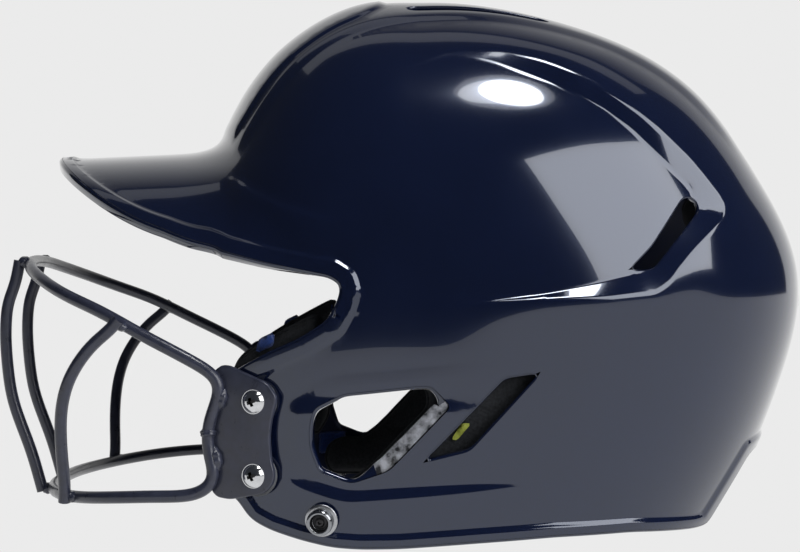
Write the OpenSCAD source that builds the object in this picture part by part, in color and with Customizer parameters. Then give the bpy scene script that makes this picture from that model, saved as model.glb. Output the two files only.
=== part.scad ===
// Batting helmet with a wire face guard.
// Units are millimetres. +Z is up, the helmet faces -Y, and +X is the wearer's left side.
// The part is symmetric about X = 0, and Z = 0 is the lowest point of the shell.

/* [Shell] */

// Wall of the moulded shell
shell_wall = 3.4; // [2.8:0.1:4.5]

// Thickness of the visor
visor_wall = 3.6; // [3:0.1:5]

// How far the visor's tip is in front of the shell's centre
visor_reach = 146; // [125:1:152]

// Half of the visor's width at its root
visor_half_width = 85; // [78:0.5:90]

// Height of the visor's top line above the part's zero
visor_height = 151.2; // [146:0.2:156]

// Depth of the recessed side panel and of the ridges beside it
panel_depth = 1.5; // [0.6:0.1:2]

// Width of the raised rim around the face opening
rim_width = 7.5; // [5:0.5:10]

// How far the rim, the bottom lip, the centre panel and the rear bar stand out of the shell
rim_rise = 1.2; // [0.6:0.1:2]

// Height of the lip along the bottom edge
lip_height = 4.2; // [3:0.2:6]

// Width of the raised bar at the middle of the back
rear_bar_width = 26; // [16:1:40]

/* [Ear hole] */

// Moves the ear hole along the side of the shell
ear_shift = 0; // [-3:0.5:3]

// Width of the chamfer around the ear hole
ear_chamfer = 4.5; // [2:0.5:6]

/* [Face guard] */

// Diameter of the guard's wire
wire_diameter = 4.8; // [4:0.1:6]

// Distance of the two centre bars from the middle
centre_bar_offset = 25; // [18:0.5:32]

// Thickness of the mounting plates
plate_thickness = 2.4; // [1.6:0.1:3.2]

// Free distance between a mounting plate and the shell
plate_standoff = 2.6; // [2:0.1:4]

// Distance between the two screws of a plate
screw_spacing = 27.8; // [24:0.2:32]

// Diameter of the screw heads
screw_head = 9.2; // [8:0.1:11]

// Diameter of the screw shanks
screw_shank = 4.8; // [4:0.1:5.5]

/* [Snap stud] */

// Diameter of the snap stud's base washer
stud_base = 12.5; // [11:0.1:14]

// Diameter of the snap stud's head
stud_head = 10; // [9:0.1:11]

// Diameter of the snap stud's post
stud_post = 4; // [3:0.1:5]

/* [Padding] */

// Thickness of the foam pads
pad_thickness = 12; // [8:0.5:18]

// Thickness of the hook-and-loop patches
patch_thickness = 1.6; // [1:0.1:2.5]

/* [View] */

// Which node to show

/* [Hidden] */

// Middle of the shell that all directions are measured from
middle = [0, 4, 101.5];

// Directions of the surface grid, in degrees
turns = concat([for (i = [0:23]) i * 7.5], [for (i = [0:35]) 180 + i * 5]);
rises = [84, 77, 70, 63, 56, 49, 43, 38, 34, 31, 28, 25, 21, 16, 11, 5, -1, -8, -15, -22, -30, -38, -46, -55];

// Distance from the middle to the surface every 15 degrees from the top down: front, rear and side
front_reach = [111.3, 110.6, 105, 98.3, 94, 100, 109, 120, 135, 160, 190];
rear_reach = [111.3, 112.6, 117.8, 127.2, 137.5, 146.4, 157.2, 156.2, 156.4, 164, 190];
side_reach = [111.3, 111.6, 109.5, 105.5, 101.5, 98.8, 98.5, 103, 114.5, 137, 175];

function table_at(t, i) = i < 0 ? t[-i] : i >= len(t) ? 2 * t[len(t) - 1] - t[len(t) - 2] : t[i];
function spline(a, b, c, d, f) =
    0.5 * (2 * b + (c - a) * f + (2 * a - 5 * b + 4 * c - d) * f * f + (3 * b - a - 3 * c + d) * f * f * f);
function reach(t, rise) =
    let (s = (90 - rise) / 15, i = min(floor(s), len(t) - 2), f = s - i)
    spline(table_at(t, i - 1), table_at(t, i), table_at(t, i + 1), table_at(t, i + 2), f);
function ease(v) = let (s = max(0, min(1, v))) s * s * (3 - 2 * s);
function squareness(rise) = 2 + 0.35 * ease((90 - rise) / 60);

// Distance from the middle to the plain shell in one direction
function dome(turn, rise) =
    let (
        p = squareness(rise),
        along = sin(turn) < 0 ? reach(front_reach, rise) : reach(rear_reach, rise)
    )
    pow(pow(abs(cos(turn)) / reach(side_reach, rise), p) + pow(abs(sin(turn)) / along, p), -1 / p);

// The same, for a surface that lies a set distance inside the shell
function dome_inside(turn, rise, depth) =
    let (
        r = dome(turn, rise),
        dr = (dome(turn, rise + 1) - dome(turn, rise - 1)) / 2 * 180 / PI,
        dt = (dome(turn + 1, rise) - dome(turn - 1, rise)) / 2 * 180 / PI,
        c = max(0.05, cos(rise))
    )
    r - depth * min(2.2, sqrt(1 + pow(dr / r, 2) + pow(dt / r / c, 2)));

// Top surface of the visor, which falls away to the sides
function visor_top(x, y) =
    visor_height + 0.045 * (y + 85) - 0.00327 * x * x - 0.000000296 * pow(x, 4);

// Half of the visor's width at one place, with a margin that the plan trims later
function visor_side(y, grow) =
    let (v = max(0, min(1, (-56 - y) / (visor_reach - 60))))
    (y > -56 ? visor_half_width : visor_half_width * pow(max(0, 1 - pow(v, 2.3)), 1 / 2.3)) + grow;

function in_visor(p, drop, grow, side) =
    p[2] < visor_top(p[0], p[1]) - drop
    && p[2] > 88
    && p[1] > -visor_reach - grow + 4
    && abs(p[0]) < visor_side(p[1] + grow * ease((-75 - p[1]) / 25), grow) - side;
function visor_ray(d, drop, grow, side, low, high, n) =
    n == 0 ? (low + high) / 2 :
    let (m = (low + high) / 2)
    in_visor(middle + m * d, drop, grow, side) ? visor_ray(d, drop, grow, side, m, high, n - 1)
    : visor_ray(d, drop, grow, side, low, m, n - 1);

function soft_max(a, b, k) = let (h = max(k - abs(a - b), 0) / k) max(a, b) + h * h * k / 4;
function direction(turn, rise) = [cos(rise) * cos(turn), cos(rise) * sin(turn), sin(rise)];

// Distance from the middle to a skin of the whole helmet
function skin_reach(turn, rise, depth, drop, grow, side) =
    let (d = dome_inside(turn, rise, depth), fade = 20 * ease((acos(-sin(turn)) - 50) / 40))
    sin(turn) > -0.05 ? d
    : soft_max(d, visor_ray(direction(turn, rise), drop, grow, side, 0, 230, 15) - fade, 16);

function skin_point(turn, rise, depth, drop, grow, side) =
    middle + skin_reach(turn, rise, depth, drop, grow, side) * direction(turn, rise);

// Two triangles for one cell of a grid, split one way or the other
function grid_cell(a, b, c, d, one_way) = one_way ? [[a, b, d], [b, c, d]] : [[a, b, c], [a, c, d]];

module skin(depth, drop, grow, side) {
    n = len(turns);
    m = len(rises);
    points = concat(
        [middle + [0, 0, front_reach[0] - depth]],
        [for (r = rises) for (t = turns) skin_point(t, r, depth, drop, grow, side)],
        [middle - [0, 0, 130]]
    );
    last = n * m + 1;
    polyhedron(points, concat(
        [for (i = [0:n - 1]) [0, 1 + (i + 1) % n, 1 + i]],
        [for (k = [0:m - 2]) for (i = [0:n - 1]) for (f = grid_cell(
            1 + k * n + i, 1 + k * n + (i + 1) % n,
            1 + (k + 1) * n + (i + 1) % n, 1 + (k + 1) * n + i, cos(turns[i] + 1) > 0)) f],
        [for (i = [0:n - 1]) [last, 1 + (m - 1) * n + i, 1 + (m - 1) * n + (i + 1) % n]]
    ));
}

module outer_skin(depth = 0) {
    skin(depth, depth, 30, depth);
}

module inner_skin() {
    skin(shell_wall, visor_wall, 48, shell_wall);
}

// Extrudes a side-view outline, written as [y, z], through the whole part
module through_side(points, from = -130, to = 130) {
    translate([from, 0, 0])
        rotate([90, 0, 90])
            linear_extrude(height = to - from)
                polygon(points);
}

// What is kept of the shell in the side view, clockwise from the front
side_outline = [
    [-170, 140], [-142, 140.5], [-127.2, 131.7], [-117.7, 125.6], [-109.2, 121.4], [-100.9, 118.4],
    [-92.8, 115.6], [-81, 111.9], [-66, 108], [-50.4, 104.8], [-28, 101.6], [-24.5, 99.4],
    [-23.8, 97], [-25.3, 92], [-28.6, 86], [-38.8, 79.2], [-50.2, 74.1], [-61.8, 67.8], [-68.5, 63],
    [-70.5, 56], [-70, 22], [-63.2, 17.8], [-58.1, 10.4], [-50.4, 6.6], [-39, 3.2], [-27, 0.6],
    [-16.4, 0], [-1.5, 0.3], [28.4, 2.4], [56, 4], [86, 4.4], [113, 2.6], [119.5, 3], [123.5, 9],
    [138, 31], [150, 34], [190, 34], [190, 240], [-170, 240]
];

// The raised rim follows the edge of the face opening, from the temple to the cheek
rim_edge = [for (i = [7:18]) side_outline[i]];
rim_normals = [for (i = [0:len(rim_edge) - 1])
    let (t = rim_edge[min(len(rim_edge) - 1, i + 1)] - rim_edge[max(0, i - 1)])
    [-t[1], t[0]] / norm(t)];
rim_outline = concat(
    [for (i = [0:len(rim_edge) - 1]) rim_edge[i] + rim_width * rim_normals[i]],
    [for (i = [len(rim_edge) - 1:-1:0]) rim_edge[i] - 3 * rim_normals[i]]
);

// The lip along the bottom edge, from the cheek round to the nape
lip_outline = concat(
    [[-72, -6], [-72, 18.5], [-63.2, 21.8], [-57, 16]],
    [for (p = [[-50.4, 6.6], [-39, 3.2], [-27, 0.6], [-16.4, 0], [-1.5, 0.3], [28.4, 2.4], [56, 4],
        [86, 4.4], [113, 2.6]]) [p[0], p[1] + lip_height]],
    [[117, 8], [132, 32], [170, 36], [170, -6]]
);

// The recessed panel on each side, and the vent at its rear corner
panel_outline = [
    [-4, 182], [17, 187], [34, 184.4], [57.3, 177.2], [78, 166.7], [89, 158.2], [99, 148.2],
    [110.6, 137.1], [114.2, 128.6], [102.7, 114.9], [94.5, 105.5], [75, 101.9], [50, 97],
    [30, 96.5], [10, 104]
];
side_vent = [
    [84.8, 104.4], [94.5, 105.1], [114.2, 127.9], [113.5, 130.9], [111.1, 132.9], [107.8, 132.1],
    [106.1, 130.5], [92, 112]
];
lower_vent = [[37.6, 64.1], [50.3, 65.9], [24.2, 37.7], [7.8, 33.6]];
ear_outline = [
    [-32.8, 52], [-22.3, 57.4], [5.2, 60.4], [9.3, 60.4], [16.4, 53.4], [-6.3, 30.2], [-19, 26],
    [-21.6, 26.3], [-31.3, 29.9], [-33.9, 38.5], [-34.3, 42.2], [-33.9, 47.5]
];
ear_hole = [for (p = ear_outline) [p[0] + ear_shift, p[1]]];

// The raised centre panel and the vents, seen from above
centre_panel = [[-46, -84], [-50, -60], [-47, -38], [-40, -18], [-30, -9], [30, -9], [40, -18], [47, -38],
    [50, -60], [46, -84]];
top_vent = [[29, 2], [34, -1], [38, 2], [40, 54], [36, 60], [31, 56]];
rear_vent = [[106, 159], [144, 159], [156, 143], [118, 143]];

module visor_plan() {
    half = [for (i = [0:16]) let (a = i * 90 / 16)
        let (y = -60 - (visor_reach - 64) * pow(cos(a), 2 / 2.3))
        [visor_half_width * pow(sin(a), 2 / 2.3) + 0.12 * max(0, y + 100) + 0.5 * max(0, y + 72), y]];
    translate([-130, -130, -20])
        cube([260, 330, 116]);
    translate([0, 0, 95])
        linear_extrude(height = 140)
            polygon(concat(half, [[130, -62], [130, 200], [-130, 200], [-130, -62]],
                [for (i = [16:-1:1]) [-half[i][0], half[i][1]]]));
}

// Direction and place of the guard's mounting plate: its outward side is local +X
plate_turn = -20;
plate_centre_y = -54.6;
plate_centre_z = 41.4;

// Finds how far out the shell is at one place of the side view
function is_inside(p, depth) =
    let (q = p - middle, r = norm(q))
    r < dome_inside(atan2(q[1], q[0]), asin(q[2] / r), depth);
function side_at(y, z, depth = 0, low = 30, high = 130, n = 16) =
    n == 0 ? (low + high) / 2 :
    let (m = (low + high) / 2)
    is_inside([m, y, z], depth) ? side_at(y, z, depth, m, high, n - 1) : side_at(y, z, depth, low, m, n - 1);

plate_x = side_at(plate_centre_y, plate_centre_z);

// Puts a part on the guard's mounting plane, on the wearer's left or right
module on_plate(side) {
    mirror([side < 0 ? 1 : 0, 0, 0])
        translate([plate_x, plate_centre_y, plate_centre_z])
            rotate([0, 0, plate_turn])
                children();
}

// How far behind a mounting plane the shell's inner face lies, all round one fastener
function placed(origin, turn, tilt, p) =
    let (x = cos(tilt) * p[0] + sin(tilt) * p[2], z = cos(tilt) * p[2] - sin(tilt) * p[0])
    origin + [cos(turn) * x - sin(turn) * p[1], sin(turn) * x + cos(turn) * p[1], z];
function wall_behind(origin, turn, tilt, u, v, near = 0, far = 16, n = 12) =
    n == 0 ? far :
    let (m = (near + far) / 2)
    is_inside(placed(origin, turn, tilt, [-m, u, v]), shell_wall)
    ? wall_behind(origin, turn, tilt, u, v, near, m, n - 1)
    : wall_behind(origin, turn, tilt, u, v, m, far, n - 1);
function seat_depth(origin, turn, tilt, heights, radius) =
    max([for (h = heights) for (a = [0:45:315])
        wall_behind(origin, turn, tilt, radius * cos(a), h + radius * sin(a))]);
nut_radius = 6.5;
nut_gap = 0.3;
screw_heights = [-screw_spacing / 2, screw_spacing / 2];
nut_seat = nut_gap + seat_depth([plate_x, plate_centre_y, plate_centre_z], plate_turn, 0, screw_heights, nut_radius);

// Runs a cylinder outward along local +X
module outward(from, to, d) {
    translate([from, 0, 0])
        rotate([0, 90, 0])
            cylinder(h = to - from, d = d, $fn = 48);
}

// The chin strap's snap stud sits low on the cheek, tilted to the surface
stud_y = -30.5;
stud_z = 11.4;
stud_x = side_at(stud_y, stud_z);
stud_turn = -9;
stud_tilt = 8;
stud_nut_radius = 5.25;
stud_seat = nut_gap + seat_depth([stud_x, stud_y, stud_z], stud_turn, stud_tilt, [0], stud_nut_radius);
module on_stud(side) {
    mirror([side < 0 ? 1 : 0, 0, 0])
        translate([stud_x, stud_y, stud_z])
            rotate([0, stud_tilt, stud_turn])
                children();
}

// The ear hole's chamfer widens from the wall's inner part to beyond its outer face
module ear_funnel() {
    n = len(ear_hole);
    x = side_at(-8, 43);
    spread = 2;
    normals = [for (i = [0:n - 1])
        let (t = ear_hole[(i + 1) % n] - ear_hole[(i + n - 1) % n])
        [-t[1], t[0]] / norm(t)];
    inner = [for (i = [0:n - 1]) ear_hole[i] - 0.4 * normals[i]];
    outer = [for (i = [0:n - 1]) ear_hole[i] + (ear_chamfer + spread) * normals[i]];
    polyhedron(
        concat(
            [for (p = inner) [x - shell_wall + 0.6 - 0.4, p[0], p[1]]],
            [for (p = outer) [x + rim_rise + spread, p[0], p[1]]],
            [[x - shell_wall + 0.2, -12, 43], [x + rim_rise + spread, -12, 43]]
        ),
        concat(
            [for (i = [0:n - 1]) for (f = grid_cell(i, (i + 1) % n, n + (i + 1) % n, n + i, true)) f],
            [for (i = [0:n - 1]) [2 * n, (i + 1) % n, i]],
            [for (i = [0:n - 1]) [2 * n + 1, n + i, n + (i + 1) % n]]
        )
    );
}

module shell() {
    color([0.05, 0.07, 0.13])
        difference() {
            intersection() {
                union() {
                    difference() {
                        outer_skin();
                        difference() {
                            through_side(panel_outline);
                            outer_skin(panel_depth);
                        }
                    }
                    intersection() {
                        outer_skin(-rim_rise);
                        union() {
                            through_side(rim_outline);
                            through_side(lip_outline);
                            translate([0, 0, 157])
                                linear_extrude(height = 80)
                                    polygon(centre_panel);
                            translate([-rear_bar_width / 2, 120, 85.2])
                                cube([rear_bar_width, 60, 9.2]);
                        }
                    }
                }
                visor_plan();
                through_side(side_outline);
            }
            inner_skin();
            through_side(ear_hole);
            through_side(side_vent);
            through_side(lower_vent);
            for (s = [0, 1])
                mirror([s, 0, 0]) {
                    ear_funnel();
                    translate([0, 0, 170])
                        linear_extrude(height = 60)
                            polygon(top_vent);
                    through_side(rear_vent, 14.5, 23.5);
                }
            for (s = [-1, 1]) {
                for (z = [-screw_spacing / 2, screw_spacing / 2])
                    on_plate(s)
                        translate([0, 0, z])
                            outward(-12, 6, screw_shank + 0.4);
                on_stud(s)
                    outward(-12, 6, stud_post + 0.4);
            }
        }
}

// Sweeps a round section along a path; a closed path has no end caps
function unit(v) = v / norm(v);
function curve(points, closed, cuts) =
    let (n = len(points), spans = closed ? n : n - 1)
    concat(
        [for (i = [0:spans - 1]) for (j = [0:cuts - 1])
            let (
                a = closed ? points[(i + n - 1) % n] : points[max(0, i - 1)],
                b = points[i],
                c = closed ? points[(i + 1) % n] : points[i + 1],
                d = closed ? points[(i + 2) % n] : points[min(n - 1, i + 2)]
            )
            spline(a, b, c, d, j / cuts)],
        closed ? [] : [points[n - 1]]
    );
module wire(path, d, closed, facing, sides = 10) {
    n = len(path);
    rings = [for (i = [0:n - 1])
        let (
            t = unit(closed ? path[(i + 1) % n] - path[(i + n - 1) % n]
                : path[min(n - 1, i + 1)] - path[max(0, i - 1)]),
            u = unit(cross(t, closed ? path[i] - facing : facing)),
            v = cross(t, u)
        )
        [for (k = [0:sides - 1]) path[i] + d / 2 * (cos(k * 360 / sides) * u + sin(k * 360 / sides) * v)]];
    points = concat([for (r = rings) for (p = r) p], closed ? [] : [path[0], path[n - 1]]);
    spans = closed ? n : n - 1;
    polyhedron(points, concat(
        [for (i = [0:spans - 1]) for (k = [0:sides - 1]) for (f = grid_cell(
            i * sides + k, i * sides + (k + 1) % sides,
            ((i + 1) % n) * sides + (k + 1) % sides, ((i + 1) % n) * sides + k, true))
            [f[2], f[1], f[0]]],
        closed ? [] : [for (k = [0:sides - 1]) [n * sides, k, (k + 1) % sides]],
        closed ? [] : [for (k = [0:sides - 1])
            [n * sides + 1, (n - 1) * sides + (k + 1) % sides, (n - 1) * sides + k]]
    ));
}

// Left half of the frame wire, from the top middle over the plate to the bottom middle
frame_half = [
    [0, -153.5, 106.5], [14, -153, 106.2], [26, -151.6, 105.3], [42, -147.5, 102.8], [58, -140, 99],
    [71, -130, 94.4], [81.5, -114.5, 88], [87.5, -98, 79.5], [90.2, -84, 72.4], [90.8, -76, 68],
    [91, -70.5, 64], [91.2, -69.2, 59], [90.6, -71.6, 52], [89.9, -73.6, 45.5], [89.9, -73.8, 38.6],
    [90.4, -72.4, 32], [90.9, -71.2, 27.4], [90.6, -73, 23.2], [90.2, -78, 20.2], [89.6, -85, 19.2],
    [88, -96, 18.9], [83, -110, 18], [73, -123, 16.8], [58, -133, 15.9], [40, -139.5, 15.5],
    [22, -142.8, 15.3], [0, -144, 15.2]
];
function frame_near(x, low) =
    let (
        c = curve([for (p = low ? [for (i = [26:-1:18]) frame_half[i]] : [for (i = [0:10]) frame_half[i]]) p],
            false, 6),
        hits = [for (i = [0:len(c) - 2]) if (c[i][0] <= x && c[i + 1][0] > x)
            c[i] + (c[i + 1] - c[i]) * (x - c[i][0]) / (c[i + 1][0] - c[i][0])]
    )
    hits[0];

module guard_frame() {
    n = len(frame_half);
    loop = concat(frame_half, [for (i = [n - 2:-1:1]) [-frame_half[i][0], frame_half[i][1], frame_half[i][2]]]);
    color([0.17, 0.18, 0.24])
        wire(curve(loop, true, 2), wire_diameter, true, [0, -100, 60]);
}

// The bars stand on the front of the frame wire, with their ends cut square
bar_gap = 0.1;
module centre_bar(side) {
    top = frame_near(centre_bar_offset, false) - [0, wire_diameter * 0.94, 0];
    foot = frame_near(centre_bar_offset, true) - [0, wire_diameter * 0.94, 0];
    x = centre_bar_offset;
    color([0.17, 0.18, 0.24])
        mirror([side < 0 ? 1 : 0, 0, 0])
            wire(curve([
                [x, top[1] + 0.3, top[2] + 1.6], [x, top[1] - 1.6, top[2] - 8], [x, -160.8, 90],
                [x, -161.7, 81], [x, -161.7, 73], [x, -160.8, 62], [x, -159.5, 53], [x, -157.4, 45.5],
                [x, -154.8, 38.5], [x, -151, 28], [x, foot[1], foot[2] - 1.8]
            ], false, 2), wire_diameter, false, [1, 0, 0]);
}
side_bar_top_x = 87.6;
side_bar_foot_x = 70;
module side_bar(side) {
    t = frame_near(side_bar_top_x - 3, false);
    f = frame_near(side_bar_foot_x - 2, true);
    top = t + wire_diameter * 1.03 * unit([0.95, -0.29, 0.11]);
    foot = f + wire_diameter * 0.96 * unit([0.5, -0.86, 0]);
    color([0.17, 0.18, 0.24])
        mirror([side < 0 ? 1 : 0, 0, 0])
            wire(curve([
                top + [0.3, 1.6, 1.1], [87.9, -111.6, 81], [87, -115.7, 78], [86, -120.4, 73],
                [84.5, -124.7, 67], [82.6, -128.2, 60], [80.4, -130.3, 52], [78.2, -131.1, 45],
                [76, -131.3, 38], [73.8, -131.1, 30], [71.8, -130.6, 22], foot - [0, 0, 1.8]
            ], false, 2), wire_diameter, false, [0.8, -0.6, 0]);
}

// Outline of the mounting plate on its own plane: along the plate, and up
plate_outline = [
    [-16.6, 25], [-13, 27.4], [-10, 27.2], [5.6, 21], [9, 16.2], [9, 14], [6.9, 6.5], [6.3, 0.2],
    [7, -8.2], [8.4, -12.6], [7.8, -16.6], [4.2, -20.4], [-10, -23.2], [-15.2, -22.4], [-17.6, -20],
    [-16.4, -14], [-17.4, -9], [-19, -2.6], [-19, 4], [-17, 11], [-15, 18]
];
head_height = 2.6;

module guard_plate(side) {
    color([0.17, 0.18, 0.24])
        on_plate(side)
            difference() {
                translate([plate_standoff, 0, 0])
                    rotate([90, 0, 90])
                        linear_extrude(height = plate_thickness)
                            polygon(plate_outline);
                for (z = screw_heights)
                    translate([0, 0, z])
                        outward(plate_standoff - 1, plate_standoff + plate_thickness + 1, screw_shank + 0.3);
                // Room for the frame wire, which is welded to the plate's front edge
                frame_room(side);
            }
}
module frame_room(side) {
    // The frame wire in the plate's own directions
    path = [for (p = [for (i = [8:18]) frame_half[i]])
        let (q = p - [plate_x, plate_centre_y, plate_centre_z], c = cos(plate_turn), s = sin(plate_turn))
        [c * q[0] + s * q[1], -s * q[0] + c * q[1], q[2]]];
    wire(curve(path, false, 2), wire_diameter + 0.1, false, [1, 0, 0]);
}

module spacer(side, place) {
    color([0.5, 0.51, 0.52])
        on_plate(side)
            translate([0, 0, screw_heights[place]])
                difference() {
                    outward(0.4, plate_standoff - 0.05, 2 * screw_head);
                    outward(-1, plate_standoff + 1, screw_shank + 0.3);
                }
}
module plate_screw(side, place) {
    r = screw_head / 2;
    h = head_height;
    ball = (r * r + h * h) / (2 * h);
    color([0.8, 0.8, 0.82])
        on_plate(side)
            translate([plate_standoff + plate_thickness, 0, screw_heights[place]])
                rotate([0, 90, 0]) {
                    difference() {
                        intersection() {
                            translate([0, 0, h - ball])
                                sphere(r = ball, $fn = 64);
                            translate([0, 0, 0.02])
                                cylinder(h = h + 1, r = r, $fn = 64);
                        }
                        for (a = [0, 90])
                            rotate([0, 0, a + 20])
                                translate([-2.6, -0.6, h - 1.3])
                                    cube([5.2, 1.2, 3]);
                    }
                    translate([0, 0, -plate_standoff - plate_thickness - nut_seat - 5])
                        cylinder(h = plate_standoff + plate_thickness + nut_seat + 5.1, d = screw_shank, $fn = 48);
                }
}
module plate_nut(side, place) {
    color([0.75, 0.75, 0.77])
        on_plate(side)
            translate([0, 0, screw_heights[place]])
                difference() {
                    union() {
                        outward(-nut_seat - 1.9, -nut_seat, 2 * nut_radius);
                        outward(-nut_seat - 5.5, -nut_seat - 1.8, 7.6);
                    }
                    outward(-nut_seat - 8, -nut_seat + 1, screw_shank + 0.1);
                }
}

module stud_washer(side) {
    color([0.72, 0.73, 0.75])
        on_stud(side)
            difference() {
                outward(rim_rise + 0.3, rim_rise + 1.5, stud_base);
                outward(0, rim_rise + 3, stud_post + 0.2);
            }
}
module stud_head(side) {
    r = stud_head / 2;
    color([0.8, 0.8, 0.82])
        on_stud(side)
            rotate([0, 90, 0])
                rotate_extrude($fn = 64)
                    polygon([
                        [0, -stud_seat - 3.4], [stud_post / 2, -stud_seat - 3.4],
                        [stud_post / 2, rim_rise + 1.52], [r - 1, rim_rise + 1.52], [r - 1.1, rim_rise + 2.7],
                        [r, rim_rise + 3.6], [r, rim_rise + 4.8], [r - 0.9, rim_rise + 5.6],
                        [r - 1.9, rim_rise + 5.6], [r - 2.2, rim_rise + 4.3], [0, rim_rise + 4.3]
                    ]);
}
module stud_nut(side) {
    color([0.75, 0.75, 0.77])
        on_stud(side)
            difference() {
                outward(-stud_seat - 2, -stud_seat, 2 * stud_nut_radius);
                outward(-stud_seat - 5, -stud_seat + 1, stud_post + 0.1);
            }
}

// Foam pads: curved slabs that lie inside the shell with rounded edges
pad_gap = 0.7;
pad_depth = shell_wall + pad_gap + patch_thickness + 0.2;
function pad_point(turn, rise, depth) =
    middle + dome_inside(turn, rise, depth) * direction(turn, rise);
module slab(turn_from, turn_to, rise_from, rise_to, depth, thick, nu, nv, soft) {
    u = [for (i = [0:nu]) turn_from + (turn_to - turn_from) * i / nu];
    v = [for (j = [0:nv]) rise_from + (rise_to - rise_from) * j / nv];
    w = nu + 1;
    m = w * (nv + 1);
    function crown(i, j) =
        soft * (1 - (1 - pow(abs(2 * i / nu - 1), 6)) * (1 - pow(abs(2 * j / nv - 1), 6)));
    outer = [for (j = [0:nv]) for (i = [0:nu]) pad_point(u[i], v[j], depth + crown(i, j) * 0.2)];
    inner = [for (j = [0:nv]) for (i = [0:nu]) pad_point(u[i], v[j], depth + thick - crown(i, j) * 0.6)];
    rim = concat(
        [for (i = [0:nu - 1]) i], [for (j = [0:nv - 1]) j * w + nu],
        [for (i = [nu:-1:1]) nv * w + i], [for (j = [nv:-1:1]) j * w]
    );
    polyhedron(concat(outer, inner), concat(
        [for (j = [0:nv - 1]) for (i = [0:nu - 1]) for (f = grid_cell(
            j * w + i, j * w + i + 1, (j + 1) * w + i + 1, (j + 1) * w + i, cos(u[i]) > 0)) [f[2], f[1], f[0]]],
        [for (j = [0:nv - 1]) for (i = [0:nu - 1]) for (f = grid_cell(
            m + j * w + i, m + j * w + i + 1, m + (j + 1) * w + i + 1, m + (j + 1) * w + i, cos(u[i]) > 0)) f],
        [for (k = [0:len(rim) - 1]) let (a = rim[k], b = rim[(k + 1) % len(rim)]) [a, b, m + b]],
        [for (k = [0:len(rim) - 1]) let (a = rim[k], b = rim[(k + 1) % len(rim)]) [a, m + b, m + a]]
    ));
}
module pad(turn_from, turn_to, rise_from, rise_to, nu, nv) {
    color([0.07, 0.07, 0.08])
        slab(turn_from, turn_to, rise_from, rise_to, pad_depth, pad_thickness, nu, nv, pad_thickness * 0.7);
}
module patch(turn_from, turn_to, rise_from, rise_to) {
    color([0.12, 0.24, 0.6])
        slab(turn_from, turn_to, rise_from, rise_to, shell_wall + pad_gap, patch_thickness, 4, 3, 0);
}

module side_patch(side, turn_from, turn_to, rise_from, rise_to) {
    mirror([side < 0 ? 1 : 0, 0, 0])
        patch(turn_from, turn_to, rise_from, rise_to);
}
module crown_patch() {
    n = 16;
    function ring(d) = [for (i = [0:n - 1]) pad_point(i * 360 / n, 82, d)];
    a = shell_wall + pad_gap;
    b = a + patch_thickness;
    points = concat([pad_point(0, 90, a)], ring(a), [pad_point(0, 90, b)], ring(b));
    color([0.12, 0.24, 0.6])
        polyhedron(points, concat(
            [for (i = [0:n - 1]) [0, 1 + (i + 1) % n, 1 + i]],
            [for (i = [0:n - 1]) [n + 1, n + 2 + i, n + 2 + (i + 1) % n]],
            [for (i = [0:n - 1]) [1 + i, 1 + (i + 1) % n, n + 2 + (i + 1) % n]],
            [for (i = [0:n - 1]) [1 + i, n + 2 + (i + 1) % n, n + 2 + i]]
        ));
}
module forehead_pad() {
    pad(234, 306, 12, 44, 12, 6);
}
module rear_pad() {
    pad(64, 116, -10, 16, 12, 6);
}
module crown_pad() {
    top = [84, 76, 69];
    n = 20;
    function ring(r, d) = [for (i = [0:n - 1]) pad_point(i * 360 / n, r, d)];
    outer = concat([pad_point(0, 90, pad_depth)], [for (r = top) for (p = ring(r, pad_depth)) p]);
    inner = concat([pad_point(0, 90, pad_depth + pad_thickness)], [for (k = [0:2])
        for (p = ring(top[k], pad_depth + pad_thickness - (k == 2 ? pad_thickness * 0.45 : 0))) p]);
    m = 3 * n + 1;
    color([0.07, 0.07, 0.08])
        polyhedron(concat(outer, inner), concat(
            [for (i = [0:n - 1]) [0, 1 + (i + 1) % n, 1 + i]],
            [for (k = [0:1]) for (i = [0:n - 1]) for (f = grid_cell(1 + k * n + i, 1 + k * n + (i + 1) % n,
                1 + (k + 1) * n + (i + 1) % n, 1 + (k + 1) * n + i, i < 5 || i >= 15)) f],
            [for (i = [0:n - 1]) [m, m + 1 + i, m + 1 + (i + 1) % n]],
            [for (k = [0:1]) for (i = [0:n - 1]) for (f = grid_cell(m + 1 + k * n + i, m + 1 + k * n + (i + 1) % n,
                m + 1 + (k + 1) * n + (i + 1) % n, m + 1 + (k + 1) * n + i, i < 5 || i >= 15)) [f[2], f[1], f[0]]],
            [for (i = [0:n - 1]) let (a = 1 + 2 * n + i, b = 1 + 2 * n + (i + 1) % n) [a, b, m + b]],
            [for (i = [0:n - 1]) let (a = 1 + 2 * n + i, b = 1 + 2 * n + (i + 1) % n) [a, m + b, m + a]]
        ));
}
module temple_pad(side) {
    mirror([side < 0 ? 1 : 0, 0, 0])
        pad(-24, 36, 6, 42, 10, 6);
}
module ear_pad(side) {
    difference() {
        intersection() {
            mirror([side < 0 ? 1 : 0, 0, 0])
                pad(-19, 44, -45, -4, 12, 8);
            translate([-130, -130, lip_height + 2])
                cube([260, 260, 150]);
        }
        through_side([for (p = ear_hole) [-8 + (p[0] + 8) * 1.14, 43 + (p[1] - 43) * 1.14]]);
        on_stud(side)
            outward(-40, 0, 2 * stud_nut_radius + 3.5);
    }
}

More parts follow.
